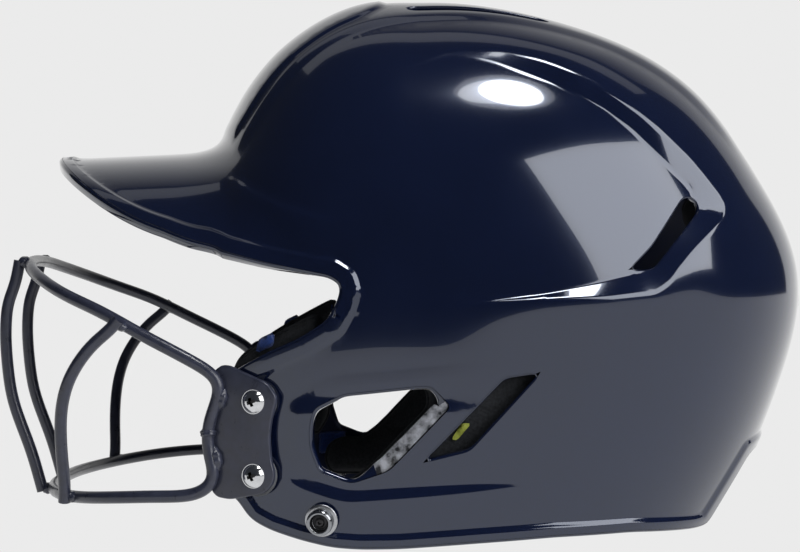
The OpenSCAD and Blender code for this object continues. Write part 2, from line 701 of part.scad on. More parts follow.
// The cheek pad follows the edge of the face opening and shows a little past it
cheek_outline = [
    [-73, 58], [-66.5, 70.5], [-58.5, 74.5], [-49, 80.5], [-40.5, 85], [-33.5, 89], [-31, 84], [-36.5, 70],
    [-37.5, 34], [-44, 24], [-60, 24], [-71, 30]
];
module cheek_pad(side) {
    difference() {
        intersection() {
            mirror([side < 0 ? 1 : 0, 0, 0])
                pad(-62, -14, -43, 0, 10, 8);
            through_side(cheek_outline);
        }
        for (z = screw_heights)
            on_plate(side)
                translate([0, 0, z])
                    outward(-nut_seat - 7, 0, 2 * nut_radius + 2);
    }
}
module nape_pad(side) {
    mirror([side < 0 ? 1 : 0, 0, 0])
        pad(47, 66, -36, -18, 5, 4);
}

shell();
guard_frame();
centre_bar(1);  // centre_bar_left
centre_bar(-1);  // centre_bar_right
side_bar(1);  // side_bar_left
side_bar(-1);  // side_bar_right
guard_plate(1);  // guard_plate_left
guard_plate(-1);  // guard_plate_right
spacer(1, 1);  // spacer_upper_left
spacer(1, 0);  // spacer_lower_left
spacer(-1, 1);  // spacer_upper_right
spacer(-1, 0);  // spacer_lower_right
plate_screw(1, 1);  // screw_upper_left
plate_screw(1, 0);  // screw_lower_left
plate_screw(-1, 1);  // screw_upper_right
plate_screw(-1, 0);  // screw_lower_right
plate_nut(1, 1);  // nut_upper_left
plate_nut(1, 0);  // nut_lower_left
plate_nut(-1, 1);  // nut_upper_right
plate_nut(-1, 0);  // nut_lower_right
stud_washer(1);  // stud_washer_left
stud_washer(-1);  // stud_washer_right
stud_head(1);  // stud_head_left
stud_head(-1);  // stud_head_right
stud_nut(1);  // stud_nut_left
stud_nut(-1);  // stud_nut_right
forehead_pad();
crown_pad();
rear_pad();
temple_pad(1);  // temple_pad_left
temple_pad(-1);  // temple_pad_right
ear_pad(1);  // ear_pad_left
ear_pad(-1);  // ear_pad_right
cheek_pad(1);  // cheek_pad_left
cheek_pad(-1);  // cheek_pad_right
nape_pad(1);  // nape_pad_left
nape_pad(-1);  // nape_pad_right
patch(258, 282, 20, 34);  // patch_forehead
patch(80, 100, -3, 9);  // patch_rear
crown_patch();  // patch_crown
side_patch(1, 0, 14, 16, 32);  // patch_temple_left
side_patch(-1, 0, 14, 16, 32);  // patch_temple_right
side_patch(1, 24, 38, -22, -10);  // patch_ear_left
side_patch(-1, 24, 38, -22, -10);  // patch_ear_right
side_patch(1, 52, 61, -31, -23);  // patch_nape_left
side_patch(-1, 52, 61, -31, -23);  // patch_nape_right
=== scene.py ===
"""Batting helmet with a wire face guard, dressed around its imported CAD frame.

Lengths in the geometry code are millimetres in the part's frame and become metres in the meshes.
"""

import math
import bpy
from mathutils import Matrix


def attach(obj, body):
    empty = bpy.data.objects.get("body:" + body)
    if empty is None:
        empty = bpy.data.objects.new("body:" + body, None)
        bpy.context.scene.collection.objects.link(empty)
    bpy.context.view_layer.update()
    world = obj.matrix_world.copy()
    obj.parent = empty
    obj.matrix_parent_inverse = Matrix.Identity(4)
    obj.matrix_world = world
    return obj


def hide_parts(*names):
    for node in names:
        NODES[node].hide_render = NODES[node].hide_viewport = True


bl_info = {
    "name": "Batting Helmet",
    "version": (1, 0, 0),
    "blender": (4, 5, 0),
    "location": "View3D > Sidebar > Helmet",
    "description": "Dresses the CAD frame of a batting helmet with a face guard",
    "category": "Object",
}

import bpy
import numpy as np
from mathutils import Matrix, Quaternion, Vector, geometry

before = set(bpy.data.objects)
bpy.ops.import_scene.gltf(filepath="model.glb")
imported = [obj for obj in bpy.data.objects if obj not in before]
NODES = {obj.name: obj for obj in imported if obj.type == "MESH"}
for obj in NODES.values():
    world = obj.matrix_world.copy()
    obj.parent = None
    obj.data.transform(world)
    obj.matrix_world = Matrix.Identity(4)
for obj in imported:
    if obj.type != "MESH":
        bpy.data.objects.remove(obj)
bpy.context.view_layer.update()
BODY = "root"
MM = 0.001

# The shell's middle, and its distance to the surface every 15 degrees from the top down
MIDDLE = np.array([0.0, 4.0, 101.5])
FRONT = np.array([111.3, 110.6, 105, 98.3, 94, 100, 109, 120, 135, 160, 190])
REAR = np.array([111.3, 112.6, 117.8, 127.2, 137.5, 146.4, 157.2, 156.2, 156.4, 164, 190])
SIDE = np.array([111.3, 111.6, 109.5, 105.5, 101.5, 98.8, 98.5, 103, 114.5, 137, 175])

# The visor is the top of a block that reaches a growth further out than the visor's own reach and half width
VISOR_HEIGHT = 151.2
VISOR_REACH = 146.0
VISOR_HALF = 84.3
VISOR_POWER = 2.3
VISOR_GROWTH = 30.0

# The shell's wall, and how far the dome and the visor blend into each other
WALL = 3.4
BLEND = 13.0

# Side views are written as (y, z), and plan views as (x, y)
SIDE_OUTLINE = [
    (-170, 140), (-142, 140.5), (-127.2, 131.7), (-117.7, 125.6), (-109.2, 121.4), (-100.9, 118.4),
    (-92.8, 115.6), (-81, 113.4), (-66, 109.3), (-50.4, 105.4), (-28, 101.6), (-24.5, 99.4),
    (-23.8, 97), (-25.3, 92), (-28.6, 86), (-38.8, 79.2), (-50.2, 74.1), (-61.8, 67.8), (-68.5, 63),
    (-70.5, 56), (-70, 22), (-63.2, 17.8), (-58.1, 10.4), (-50.4, 6.6), (-39, 3.2), (-27, 0.6),
    (-16.4, 0), (-1.5, 0.3), (28.4, 2.4), (56, 4), (86, 4.4), (113, 2.6), (119.5, 3), (123.5, 9),
    (138, 31), (150, 34), (190, 34), (190, 240), (-170, 240),
]
EAR = [
    (-32.8, 52), (-22.3, 57.4), (5.2, 60.4), (9.3, 60.4), (12.8, 56.9), (-16.7, 26.8), (-19, 26),
    (-21.6, 26.3), (-31.3, 29.9), (-33.9, 38.5), (-34.3, 42.2), (-33.9, 47.5),
]
EAR_RIM = [
    (-33.5, 53), (-22.6, 58.5), (5, 61.5), (10.2, 61.5), (17.7, 53.9), (-5.6, 29.5), (-18.9, 24.8),
    (-22, 25.2), (-32.1, 29), (-35, 38.3), (-35.4, 42.2), (-35, 47.8),
]
LOWER_VENT = [(37.6, 64.1), (50.3, 65.9), (24.2, 37.7), (7.8, 33.6)]
SIDE_VENT = [
    (86, 104.6), (94.9, 105.1), (114.2, 127.9), (113.5, 130.9), (111.3, 132.9), (109, 132.6),
    (107.6, 131.6), (95, 113.6),
]
PANEL_FLOOR = [
    (-30, 168), (17.3, 186.9), (34.3, 184.4), (57.3, 177.2), (77.9, 166.7), (89, 158.2), (98.9, 148.2),
    (110.6, 137.1), (114.2, 128.6), (102.7, 114.9), (94.5, 105.5), (74.8, 100.5), (49.9, 95.7),
    (10, 92), (-30, 100),
]
PANEL_EDGE = [
    (-34, 168), (16, 188.4), (25.1, 189.4), (39.1, 188.6), (53, 184.6), (71.8, 176.7), (90.2, 164.2),
    (109.2, 147.2), (121.4, 133.4), (124, 128.7), (123.3, 124.1), (110.2, 111.8), (99.6, 99.1),
    (94.5, 95.7), (74.8, 94), (48, 93.4), (10, 90), (-34, 98),
]
POD_TOP = [
    (-39.5, 28), (-39.5, 41), (-38.5, 52.5), (-32.5, 56.5), (-24.5, 60.5), (28, 65.5), (90, 70), (90, 25.8),
    (28.3, 25.7), (-16.4, 22.3), (-22.7, 22.6), (-34.3, 27.2),
]
POD_FOOT = [
    (-45.6, 26), (-45.6, 42), (-44, 56), (-36.5, 61.5), (-26.5, 66), (28, 71), (94, 76), (94, 22.9),
    (38.4, 22.5), (28.3, 21.5), (-20.9, 17.7), (-26.9, 18.7), (-36.6, 21.5),
]
BROW_FOLD = [(-66, 139.5), (-62.1, 137), (-54.4, 132.7), (-46.2, 128.9), (-34.4, 125.2), (-22.8, 123), (-5, 122)]
CENTRE_PANEL = [
    (-46, -84), (-50, -60), (-47, -38), (-40, -18), (-30, -9), (30, -9), (40, -18), (47, -38),
    (50, -60), (46, -84),
]
TOP_VENT = [(30, 3), (33, 0), (35.8, 3), (37.4, 53), (35, 58), (32, 55)]
REAR_VENT = [(106, 159), (144, 159), (156, 143), (118, 143)]
FACE_EDGE = SIDE_OUTLINE[7:20]
BOTTOM_EDGE = SIDE_OUTLINE[20:36]

# Widths of the raised rim and of the lip along the bottom edge, and the crown strip's half width from front to back
RIM_WIDTH = 7.2
LIP_WIDTH = 5.0
STRIP_PLACES = [-90, -52, -40, -20, 6, 30, 60, 90, 120, 140]
STRIP_HALVES = [60, 57, 54, 49, 43, 42.5, 42, 41, 38, 34]

# How far each form of the shell stands out or lies in
PANEL_DEPTH, PANEL_SWELL, POD_RISE, POD_TUCK = 2.9, 0.9, 0.8, 1.4
RIM_RISE, FOLD_RISE, LIP_RISE, CENTRE_RISE, STRIP_RISE, RIDGE_RISE, TOP_DROP = 1.3, 0.8, 1.2, 1.2, 1.1, 0.7, 1.0

# How wide the rounding of each edge is, and from what width on it counts as a cut chamfer
BODY_EDGE, VISOR_EDGE, VENT_EDGE, SLOT_EDGE = 1.2, 1.5, 0.7, 0.6
CHAMFER_EDGE = (1.1, 5.2)
CUT_WIDTH = 3.4
CORNER_ROWS = 6

# The polar grid on which edges and creases are found, and the steps between points along them and between them
TURNS = 640
RISES = np.arange(88.0, -53.0, -0.55)
EDGE_STEP = 1.5
CREASE_STEP = 1.6
SHELL_STEP, SHELL_STEP_QUICK = 2.7, 3.4

# How far the rings, creases and other points lie from the edges, and from each other: in mm, and as part of the step
RING_INSET, CREASE_INSET, FILL_INSET = 1.3, 0.7, 1.6
FINE_GAP, FILL_GAP = 0.75, 0.62
CREASES = (
    ("floor", (-1.0, 0.0, 1.0)), ("edge", (-1.0, 0.0, 1.0)), ("pod_top", (-1.2, 0.0, 1.2)),
    ("pod_foot", (-1.2, 0.0, 1.2)), ("rim", (RIM_WIDTH - 1.5, RIM_WIDTH - 0.6, RIM_WIDTH + 0.3, RIM_WIDTH + 1.2)),
    ("lip", (LIP_WIDTH - 1.4, LIP_WIDTH - 0.5, LIP_WIDTH + 0.3, LIP_WIDTH + 1.1)),
    ("centre", (-1.6, -0.5, 0.5, 1.6)), ("fold", (-1.2, -0.4, 0.4, 1.2)), ("strip", (-3.6, -2, 0, 2, 3.6)),
)
# A distance that stands for a line that is nowhere near
FAR = 99.0

SIDES = ((1, "left"), (-1, "right"))
FINISHES = {}

# The camera's place in millimetres, its focal length in pixels and the way it looks
CAMERA_AT = np.array([915.0, 4.1, 120.2])
FOCAL_PIXELS = 2200
CAMERA_AIM = (-1.0, -15 / FOCAL_PIXELS, -48 / FOCAL_PIXELS)

# The spot in metres that the key lamps are turned to, and the pale background
KEY_AIM = (0.077, 0.035, 0.17)
PALE = (0.83, 0.83, 0.83, 1)

# Left half of the guard's frame wire, from the top middle over the plate to the bottom middle
FRAME_HALF = np.array([
    [0, -153.5, 106.5], [14, -153, 106.2], [26, -151.6, 105.3], [42, -147.5, 102.8], [58, -140, 99],
    [71, -130, 94.4], [81.5, -114.5, 88], [87.5, -98, 79.5], [90.2, -84, 72.4], [90.8, -76, 68],
    [91, -70.5, 64], [91.2, -69.2, 59], [90.6, -71.6, 52], [89.9, -73.6, 45.5], [89.9, -73.8, 38.6],
    [90.4, -72.4, 32], [90.9, -71.2, 27.4], [90.6, -73, 23.2], [90.2, -78, 20.2], [89.6, -85, 19.2],
    [88, -96, 18.9], [83, -110, 18], [73, -123, 16.8], [58, -133, 15.9], [40, -139.5, 15.5],
    [22, -142.8, 15.3], [0, -144, 15.2],
])
CENTRE_BAR_X = 25
WIRE_STEP, WIRE_PASSES = 1.6, 8

# Weld beads, each as a place, the way it runs, and its three half sizes
BEADS = [
    ((25, -153.9, 106.4), (1, 0.1, -0.08), (3.4, 2.3, 2.6)),
    ((25, -144.9, 14.6), (1, 0.06, 0), (3.4, 2.3, 2.4)),
    ((86.9, -107.8, 84.0), (0.31, 0.85, -0.44), (3.9, 2.3, 2.7)),
    ((69.3, -128.9, 16.6), (0.8, 0.6, 0), (3.6, 2.3, 2.5)),
    ((89.9, -73.7, 43.2), (0, -0.05, 1), (2.2, 2.95, 2.95)),
    ((90.6, -68.6, 55.6), (0.1, 0.3, 1), (4.4, 2.6, 2.2)),
    ((90.2, -70.4, 33.4), (0, -0.2, 1), (4.6, 2.6, 2.2)),
]

# The guard's mounting plate and the snap stud, with their places on the side wall
PLATE_OUTLINE = [
    (-16.6, 25), (-13, 27.4), (-10, 27.2), (5.6, 21), (9, 16.2), (9, 14), (6.9, 6.5), (6.3, 0.2),
    (7, -8.2), (8.4, -12.6), (7.8, -16.6), (4.2, -20.4), (-10, -23.2), (-15.2, -22.4), (-17.6, -20),
    (-16.4, -14), (-17.4, -9), (-19, -2.6), (-19, 4), (-17, 11), (-15, 18),
]
PLATE_Y, PLATE_Z = -54.6, 41.4
PLATE_STANDOFF, PLATE_THICK = 2.6, 2.4
SCREW_HALF_GAP, SCREW_RISE = 13.9, 2.6
STUD_Y, STUD_Z = -30.5, 11.4
STUD_RISE = 1.2

# Cushions and patches: outlines from the side, how deep they lie under the outer wall, and the cloth's settings
CHEEK = [
    (-73.5, 59), (-67.8, 71.6), (-59.6, 76.2), (-49.6, 81.4), (-41, 85.6), (-34.8, 88.4), (-32, 83), (-36.5, 70),
    (-37.5, 34), (-44, 25), (-46, 31), (-49.5, 35), (-54.6, 36.2), (-60, 34.5), (-62.5, 29), (-63, 26), (-70.5, 31),
]
# The ear pad runs round three sides of the ear hole
EAR_PAD = [
    (-27, 92), (0, 93), (40, 92.5), (76, 91), (84, 60), (84, 30), (78, 8.5), (20, 7), (-36, 8.5), (-39, 14),
    (-37.5, 21), (-31, 24.2), (-22, 23.5), (-12.4, 30.2), (1, 44), (10, 53), (8, 62.5), (-24, 59.5), (-27, 57.7),
]
PAD_POWER = 7.0
PAD_DEPTH = 5.9
PATCH_DEPTH = WALL + 0.7
PAD_STEP, PAD_STEP_QUICK, PATCH_STEP = 2.0, 3.0, 1.6
PIPING = 0.75
CLOTH = {
    "use_pressure": True, "uniform_pressure_force": 4.0, "vertex_group_mass": "held", "quality": 4,
    "tension_stiffness": 20, "compression_stiffness": 12, "bending_stiffness": 0.6,
}
CLOTH_FRAMES, CLOTH_CAP = 10, 1.4


def corner_curve(before, corner, after, limit, steps):
    """Points round one corner, starting at most the limit in mm before it."""
    back, on = before - corner, after - corner
    cut = min(limit, 0.42 * np.hypot(*back), 0.42 * np.hypot(*on))
    start = corner + back / np.hypot(*back) * cut
    end = corner + on / np.hypot(*on) * cut
    return [(1 - t) ** 2 * start + 2 * t * (1 - t) * corner + t * t * end for t in steps]


def rounded(points, limit):
    """Rounds each corner of a closed outline."""
    p = np.array(points, float)
    corners = zip(np.roll(p, 1, 0), p, np.roll(p, -1, 0))
    return np.vstack([corner_curve(*three, limit, (0, 0.25, 0.5, 0.75, 1)) for three in corners])


def path_distance(points, path, closed=False):
    """Distance of each point to a run of straight lines."""
    a = np.array(path, float)
    b = np.roll(a, -1, 0)
    if not closed:
        a, b = a[:-1], b[:-1]
    best = np.full(len(points), 1e9)
    for start, end in zip(a, b):
        d = end - start
        t = np.clip(((points - start) @ d) / max(d @ d, 1e-9), 0, 1)
        best = np.minimum(best, np.linalg.norm(points - start - t[:, None] * d, axis=1))
    return best


def signed_distance(points, outline):
    """Distance to a closed outline, positive inside it."""
    a = np.array(outline, float)
    b = np.roll(a, -1, 0)
    inside = np.zeros(len(points), bool)
    x, y = points[:, 0], points[:, 1]
    for (x0, y0), (x1, y1) in zip(a, b):
        if y0 != y1:
            crosses = (y0 > y) != (y1 > y)
            inside ^= crosses & (x < (x1 - x0) * (y - y0) / (y1 - y0) + x0)
    d = path_distance(points, outline, True)
    return np.where(inside, d, -d)


def ease(v):
    """0 below 0, 1 above 1, and a smooth rise between them."""
    s = np.clip(v, 0, 1)
    return s * s * (3 - 2 * s)


def slopes_of(table):
    """Slopes of the smooth curve through a table, level at its first value."""
    n = len(table)
    a = np.zeros((n, n))
    b = np.zeros(n)
    a[0, 0] = 1
    for i in range(1, n - 1):
        a[i, i - 1:i + 2] = (1, 4, 1)
        b[i] = 3 * (table[i + 1] - table[i - 1])
    a[n - 1, n - 2:] = (1, 2)
    b[n - 1] = 3 * (table[n - 1] - table[n - 2])
    return np.linalg.solve(a, b)


SLOPES = {id(t): slopes_of(t) for t in (FRONT, REAR, SIDE)}


def table_at(table, rise):
    """The smooth curve through a table at rises in degrees."""
    s = np.clip((90 - rise) / 15, 0, len(table) - 1.0001)
    i = s.astype(int)
    f = s - i
    m = SLOPES[id(table)]
    return (
        (2 * f**3 - 3 * f**2 + 1) * table[i] + (f**3 - 2 * f**2 + f) * m[i]
        + (3 * f**2 - 2 * f**3) * table[i + 1] + (f**3 - f**2) * m[i + 1]
    )


def dome_reach(d):
    """Distance from the middle to the plain dome in each unit direction."""
    rise = np.degrees(np.arcsin(np.clip(d[:, 2], -1, 1)))
    flat = np.maximum(np.hypot(d[:, 0], d[:, 1]), 1e-9)
    across = np.abs(d[:, 0]) / flat
    along = d[:, 1] / flat
    p = 2 + 0.35 * ease((90 - rise) / 60)
    w = ease(0.5 - along / 0.5)
    length = w * table_at(FRONT, rise) + (1 - w) * table_at(REAR, rise)
    return ((across / table_at(SIDE, rise)) ** p + (np.abs(along) / length) ** p) ** (-1 / p)


def visor_top(x, y):
    return VISOR_HEIGHT + 0.045 * (y + 85) - 0.00327 * x**2 - 0.000000296 * x**4


def visor_width(y):
    v = np.clip((-56 - y) / (VISOR_REACH - 60), 0, 1)
    narrow = VISOR_HALF * np.maximum(0, 1 - v**VISOR_POWER) ** (1 / VISOR_POWER)
    return np.where(y > -56, VISOR_HALF, narrow) + VISOR_GROWTH


def halved(inside, low, high, times):
    """Searches along many rays at once for where each one leaves a form."""
    for _ in range(times):
        m = (low + high) / 2
        hit = inside(m)
        low, high = np.where(hit, m, low), np.where(hit, high, m)
    return low, high


def visor_ray(d):
    """How far each direction runs inside the block whose top is the visor, which reaches beyond the visor's edge."""
    def inside(m):
        x, y, z = (MIDDLE + m[:, None] * d).T
        hit = (z < visor_top(x, y)) & (z > 88) & (y > -VISOR_REACH - VISOR_GROWTH + 4)
        return hit & (np.abs(x) < visor_width(y + VISOR_GROWTH * ease((-75 - y) / 25)))

    return halved(inside, np.zeros(len(d)), np.full(len(d), 230.0), 30)[0]


def direction(q):
    """Unit directions of points in the flat map of the shell, which keeps angles true."""
    r2 = (q * q).sum(1)
    return np.stack([2 * q[:, 0], 2 * q[:, 1], 1 - r2], 1) / (1 + r2)[:, None]


def base_point(q):
    """Point of the plain helmet surface for each place in the flat map."""
    d = direction(q)
    r = dome_reach(d)
    front = d[:, 1] < 0.05 * np.hypot(d[:, 0], d[:, 1])
    if front.any():
        aside = np.degrees(np.arccos(np.clip(-d[front, 1] / np.hypot(d[front, 0], d[front, 1]), -1, 1)))
        v = visor_ray(d[front]) - 20 * ease((aside - 50) / 40)
        a = r[front]
        h = np.maximum(BLEND - np.abs(a - v), 0) / BLEND
        r[front] = np.maximum(a, v) + h * h * BLEND / 4
    return MIDDLE + r[:, None] * d


def unit(v):
    return v / np.linalg.norm(v, axis=1)[:, None]


def normal_from(point, q):
    """Outward normals by differences over about a third of a millimetre."""
    step = (0.3 / 110) * (1 + (q * q).sum(1)) / 2
    du = np.stack([step, np.zeros(len(q))], 1)
    dv = np.stack([np.zeros(len(q)), step], 1)
    return unit(np.cross(point(q + du) - point(q - du), point(q + dv) - point(q - dv)))


OUTLINES = {name: rounded(points, limit) for name, points, limit in (
    ("body", SIDE_OUTLINE, 4.5), ("ear", EAR, 2.0), ("ear_rim", EAR_RIM, 1.5), ("lower_vent", LOWER_VENT, 1.5),
    ("side_vent", SIDE_VENT, 1.8), ("floor", PANEL_FLOOR, 3.0), ("edge", PANEL_EDGE, 3.0), ("pod_top", POD_TOP, 4.0),
    ("pod_foot", POD_FOOT, 4.0), ("centre", CENTRE_PANEL, 4.0), ("top_vent", TOP_VENT, 2.5),
    ("rear_vent", REAR_VENT, 2.0),
)}


def visor_plan():
    """Outline of the visor from above, closed far behind it."""
    half = []
    for i in range(33):
        a = math.radians(i * 90 / 32)
        x = VISOR_HALF * math.sin(a) ** (2 / VISOR_POWER)
        y = -60 - (VISOR_REACH - 64) * math.cos(a) ** (2 / VISOR_POWER)
        half.append((x + 0.12 * max(0, y + 92) + 0.5 * max(0, y + 72), y))
    return half + [(130, -62), (130, 200), (-130, 200), (-130, -62)] + [(-x, y) for x, y in half[:0:-1]]


PLAN = visor_plan()


def soft_ramp(t, corner=0.08):
    """0 to 1 with small round corners."""
    t = np.clip(t, -corner, 1 + corner)
    low = np.where(t < corner, (t + corner) ** 2 / (4 * corner), t)
    u = 1 - t
    return np.where(u < corner, 1 - (u + corner) ** 2 / (4 * corner), low)


def from_above(p):
    """Plan places of surface points, with both sides folded onto one."""
    return np.stack([np.abs(p[:, 0]), p[:, 1]], 1)


def feature_fields(p):
    """Signed distances of surface points to the lines that shape the shell."""
    y, z = p[:, 1], p[:, 2]
    side = p[:, 1:]
    lateral = np.abs(p[:, 0]) > 20
    f = {name: np.where(lateral, signed_distance(side, OUTLINES[name]), -FAR)
         for name in ("floor", "edge", "pod_top", "pod_foot")}
    brim = ease((-62 - y) / 16)
    near = y < -60
    along = np.full(len(p), FAR)
    along[near] = 1.18 * np.abs(signed_distance(p[near][:, :2], PLAN))
    f["rim"] = brim * along + (1 - brim) * np.where(lateral, path_distance(side, FACE_EDGE), FAR)
    f["fold"] = np.where(lateral & (y < 0) & (y > -72), np.interp(y, *np.transpose(BROW_FOLD)) - z, -FAR)
    f["lip"] = path_distance(side, BOTTOM_EDGE)
    f["strip"] = np.where(z > 140, np.interp(y, STRIP_PLACES, STRIP_HALVES) - np.abs(p[:, 0]), -FAR)
    f["centre"] = np.where(z > 140, signed_distance(from_above(p), OUTLINES["centre"]), -FAR)
    return f


def part_way(inner, outer):
    """0 at the inner line, 1 at the outer one and beyond it, and even in between."""
    a = np.maximum(0, -inner)
    b = np.maximum(0, outer)
    return np.where(b <= 0, 1.0, a / np.maximum(a + b, 1e-6))


def height_at(p):
    """How far the finished surface stands out of the plain one."""
    f = feature_fields(p)
    y, z = p[:, 1], p[:, 2]
    t = soft_ramp(part_way(f["floor"], f["edge"]))
    h = -PANEL_DEPTH * ease((y + 4) / 86) * (1 - t)
    swell = np.exp(-(np.maximum(0, -f["edge"]) / 13) ** 2)
    h += PANEL_SWELL * ease((y - 10) / 60) * t * swell * ease((150 - y) / 20)
    t = np.where(f["pod_top"] > 0, 0.0, part_way(f["pod_top"], f["pod_foot"]))
    low = 1 - ease((z - 23) / 16)
    proud = (POD_RISE - 0.68 * ease((z - 50) / 8)) * (1 - ease((y + 10) / 70))
    h += ((1 - low) * proud - POD_TUCK * low * (1 - ease((y + 6) / 76))) * (1 - soft_ramp(t, 0.2))
    rim = soft_ramp((RIM_WIDTH + 0.6 - f["rim"]) / 1.7, 0.25)
    h += (RIM_RISE - 0.35 * ease((-62 - y) / 16)) * rim * ease((z - 52) / 10)
    under = soft_ramp((f["fold"] + 1.1) / 2.2, 0.25) * np.exp(-(np.maximum(0, f["fold"]) / 15) ** 2)
    h += FOLD_RISE * under * ease((-8 - y) / 34) * ease((y + 70) / 9)
    h += LIP_RISE * soft_ramp((LIP_WIDTH + 0.5 - f["lip"]) / 1.5, 0.25)
    h += CENTRE_RISE * soft_ramp((f["centre"] + 1.4) / 2.8, 0.3) * ease((z - 152) / 8)
    along = ease((y + 100) / 30) * (1 - ease((y - 110) / 35))
    h += STRIP_RISE * along * soft_ramp((f["strip"] + 3) / 6, 0.22) * ease((z - 145) / 15)
    ridge = soft_ramp((13 - np.abs(p[:, 0])) / 2) * soft_ramp((z - 84.2) / 2) * soft_ramp((95.4 - z) / 2)
    h += RIDGE_RISE * ridge * (y > 100)
    return h - TOP_DROP * ease((z - 186) / 22)


def outer_point(q):
    p = base_point(q)
    return p + height_at(p)[:, None] * normal_from(base_point, q)


def edges_at(p):
    """Distance to the nearest edge of the outer sheet, positive on the shell, and that edge's width."""
    side = p[:, 1:]
    lateral = np.abs(p[:, 0]) > 25
    n = len(p)
    near = p[:, 1] < -50
    plan = np.full(n, FAR)
    if near.any():
        plan[near] = signed_distance(p[near][:, :2], PLAN)
    # The ear hole's chamfer is wide at the lower rear and narrow elsewhere
    ear = np.clip(path_distance(side, OUTLINES["ear"], True), *CHAMFER_EDGE)
    rear = np.minimum(-signed_distance(side, OUTLINES["rear_vent"]), 60) + 2
    across = np.abs(np.abs(p[:, 0]) - 19) - 2.5
    slot = np.hypot(np.maximum(rear, 0), np.maximum(across, 0)) + np.minimum(np.maximum(rear, across), 0) - 2

    def hole(name, places, where):
        return np.where(where, -signed_distance(places, OUTLINES[name]), FAR)

    parts = (
        (signed_distance(side, OUTLINES["body"]), BODY_EDGE),
        (plan, VISOR_EDGE),
        (hole("ear_rim", side, lateral) + ear, ear),
        (hole("lower_vent", side, lateral), VENT_EDGE),
        (hole("side_vent", side, lateral), VENT_EDGE),
        (hole("top_vent", from_above(p), p[:, 2] > 150), VENT_EDGE),
        (np.where(p[:, 1] > 100, slot, FAR), SLOT_EDGE),
    )
    gaps = np.stack([d - w for d, w in parts])
    widths = np.stack([np.broadcast_to(w, n) for d, w in parts])
    first = gaps.argmin(0)
    pick = np.arange(n)
    return gaps[first, pick], widths[first, pick]


def kept(p):
    """Distance of surface points to the nearest edge, positive on the shell."""
    return edges_at(p)[0]


def heading(turn, rise):
    """Unit directions for turns about +Z and rises above the horizon, in radians."""
    return np.stack([np.cos(rise) * np.cos(turn), np.cos(rise) * np.sin(turn), np.sin(rise)], -1)


def polar_map(turn, rise):
    """Places in the flat map for turns and rises."""
    d = heading(turn, rise).reshape(-1, 3)
    return d[:, :2] / (1 + d[:, 2:3])


def relaxed(q, closed, passes):
    """The points with their small waves smoothed away. An open run keeps its two ends."""
    for _ in range(passes):
        around = (np.roll(q, 1, 0) + 2 * q + np.roll(q, -1, 0)) / 4
        if not closed:
            around[[0, -1]] = q[[0, -1]]
        q = around
    return q


def even_steps(q, path, count):
    """The points q at even steps along a path. count gives the number of steps for its length."""
    s = np.concatenate([[0], np.cumsum(np.linalg.norm(np.diff(path, axis=0), axis=1))])
    t = np.linspace(0, s[-1], count(s[-1]) + 1)
    return np.stack([np.interp(t, s, column) for column in q.T], 1)


def triangles_of(q, loops, close):
    """Triangles over flat points, the first of which run round these closed loops."""
    edges, start = [], 0
    for loop in loops:
        n = len(loop)
        edges += [(start + i, start + (i + 1) % n) for i in range(n)]
        start += n
    out = geometry.delaunay_2d_cdt([Vector(v) for v in q], edges, [], 0, close)
    back = [o[0] if o else -1 for o in out[3]]
    tris = np.array([[back[i] for i in f] for f in out[2]])
    return tris[(tris >= 0).all(1)]


def iso_lines(values, level):
    """Runs of map points where a field on the polar grid passes a level."""
    rows, cols = values.shape
    v = values - level
    v = np.where(v == 0, 1e-7, v)
    right = np.roll(v, -1, 1)
    spot = {}
    cells = set()
    for r, c in zip(*np.nonzero((v > 0) != (right > 0))):
        t = v[r, c] / (v[r, c] - right[r, c])
        spot[(0, r, c)] = ((c + t) * 2 * math.pi / cols, math.radians(RISES[r]))
        cells.update(((r, c), (r - 1, c)))
    for r, c in zip(*np.nonzero((v[:-1] > 0) != (v[1:] > 0))):
        t = v[r, c] / (v[r, c] - v[r + 1, c])
        spot[(1, r, c)] = (c * 2 * math.pi / cols, math.radians(RISES[r] + t * (RISES[r + 1] - RISES[r])))
        cells.update(((r, c), (r, (c - 1) % cols)))
    links = {}
    for r, c in cells:
        if not 0 <= r < rows - 1:
            continue
        e = (c + 1) % cols
        hits = [k for k in ((0, r, c), (1, r, e), (0, r + 1, c), (1, r, c)) if k in spot]
        pairs = (tuple(hits),)
        if len(hits) == 4:
            alike = (v[r, c] + v[r, e] + v[r + 1, c] + v[r + 1, e] > 0) == (v[r, c] > 0)
            pairs = (hits[:2], hits[2:]) if alike else ((hits[3], hits[0]), hits[1:3])
        for a, b in pairs:
            links.setdefault(a, []).append(b)
            links.setdefault(b, []).append(a)
    lines = []
    left = set(links)
    for start in [k for k in sorted(links) if len(links[k]) == 1] + sorted(links):
        if start not in left:
            continue
        run = [start]
        left.discard(start)
        while onward := [k for k in links[run[-1]] if k in left]:
            run.append(onward[0])
            left.discard(onward[0])
        if len(run) > 3:
            a = np.array([spot[k] for k in run])
            closed = len(links[start]) == 2 and start in links[run[-1]]
            lines.append((polar_map(a[:, 0], a[:, 1]), closed))
    return lines


def respaced(line, closed, spacing):
    """Even steps along a run of map points, measured on the real surface."""
    q = relaxed(line, closed, 2)
    if closed:
        q = np.vstack([q, q[:1]])
    out = even_steps(q, base_point(q), lambda length: max(4, int(round(length / spacing))))
    return out[:-1] if closed else out


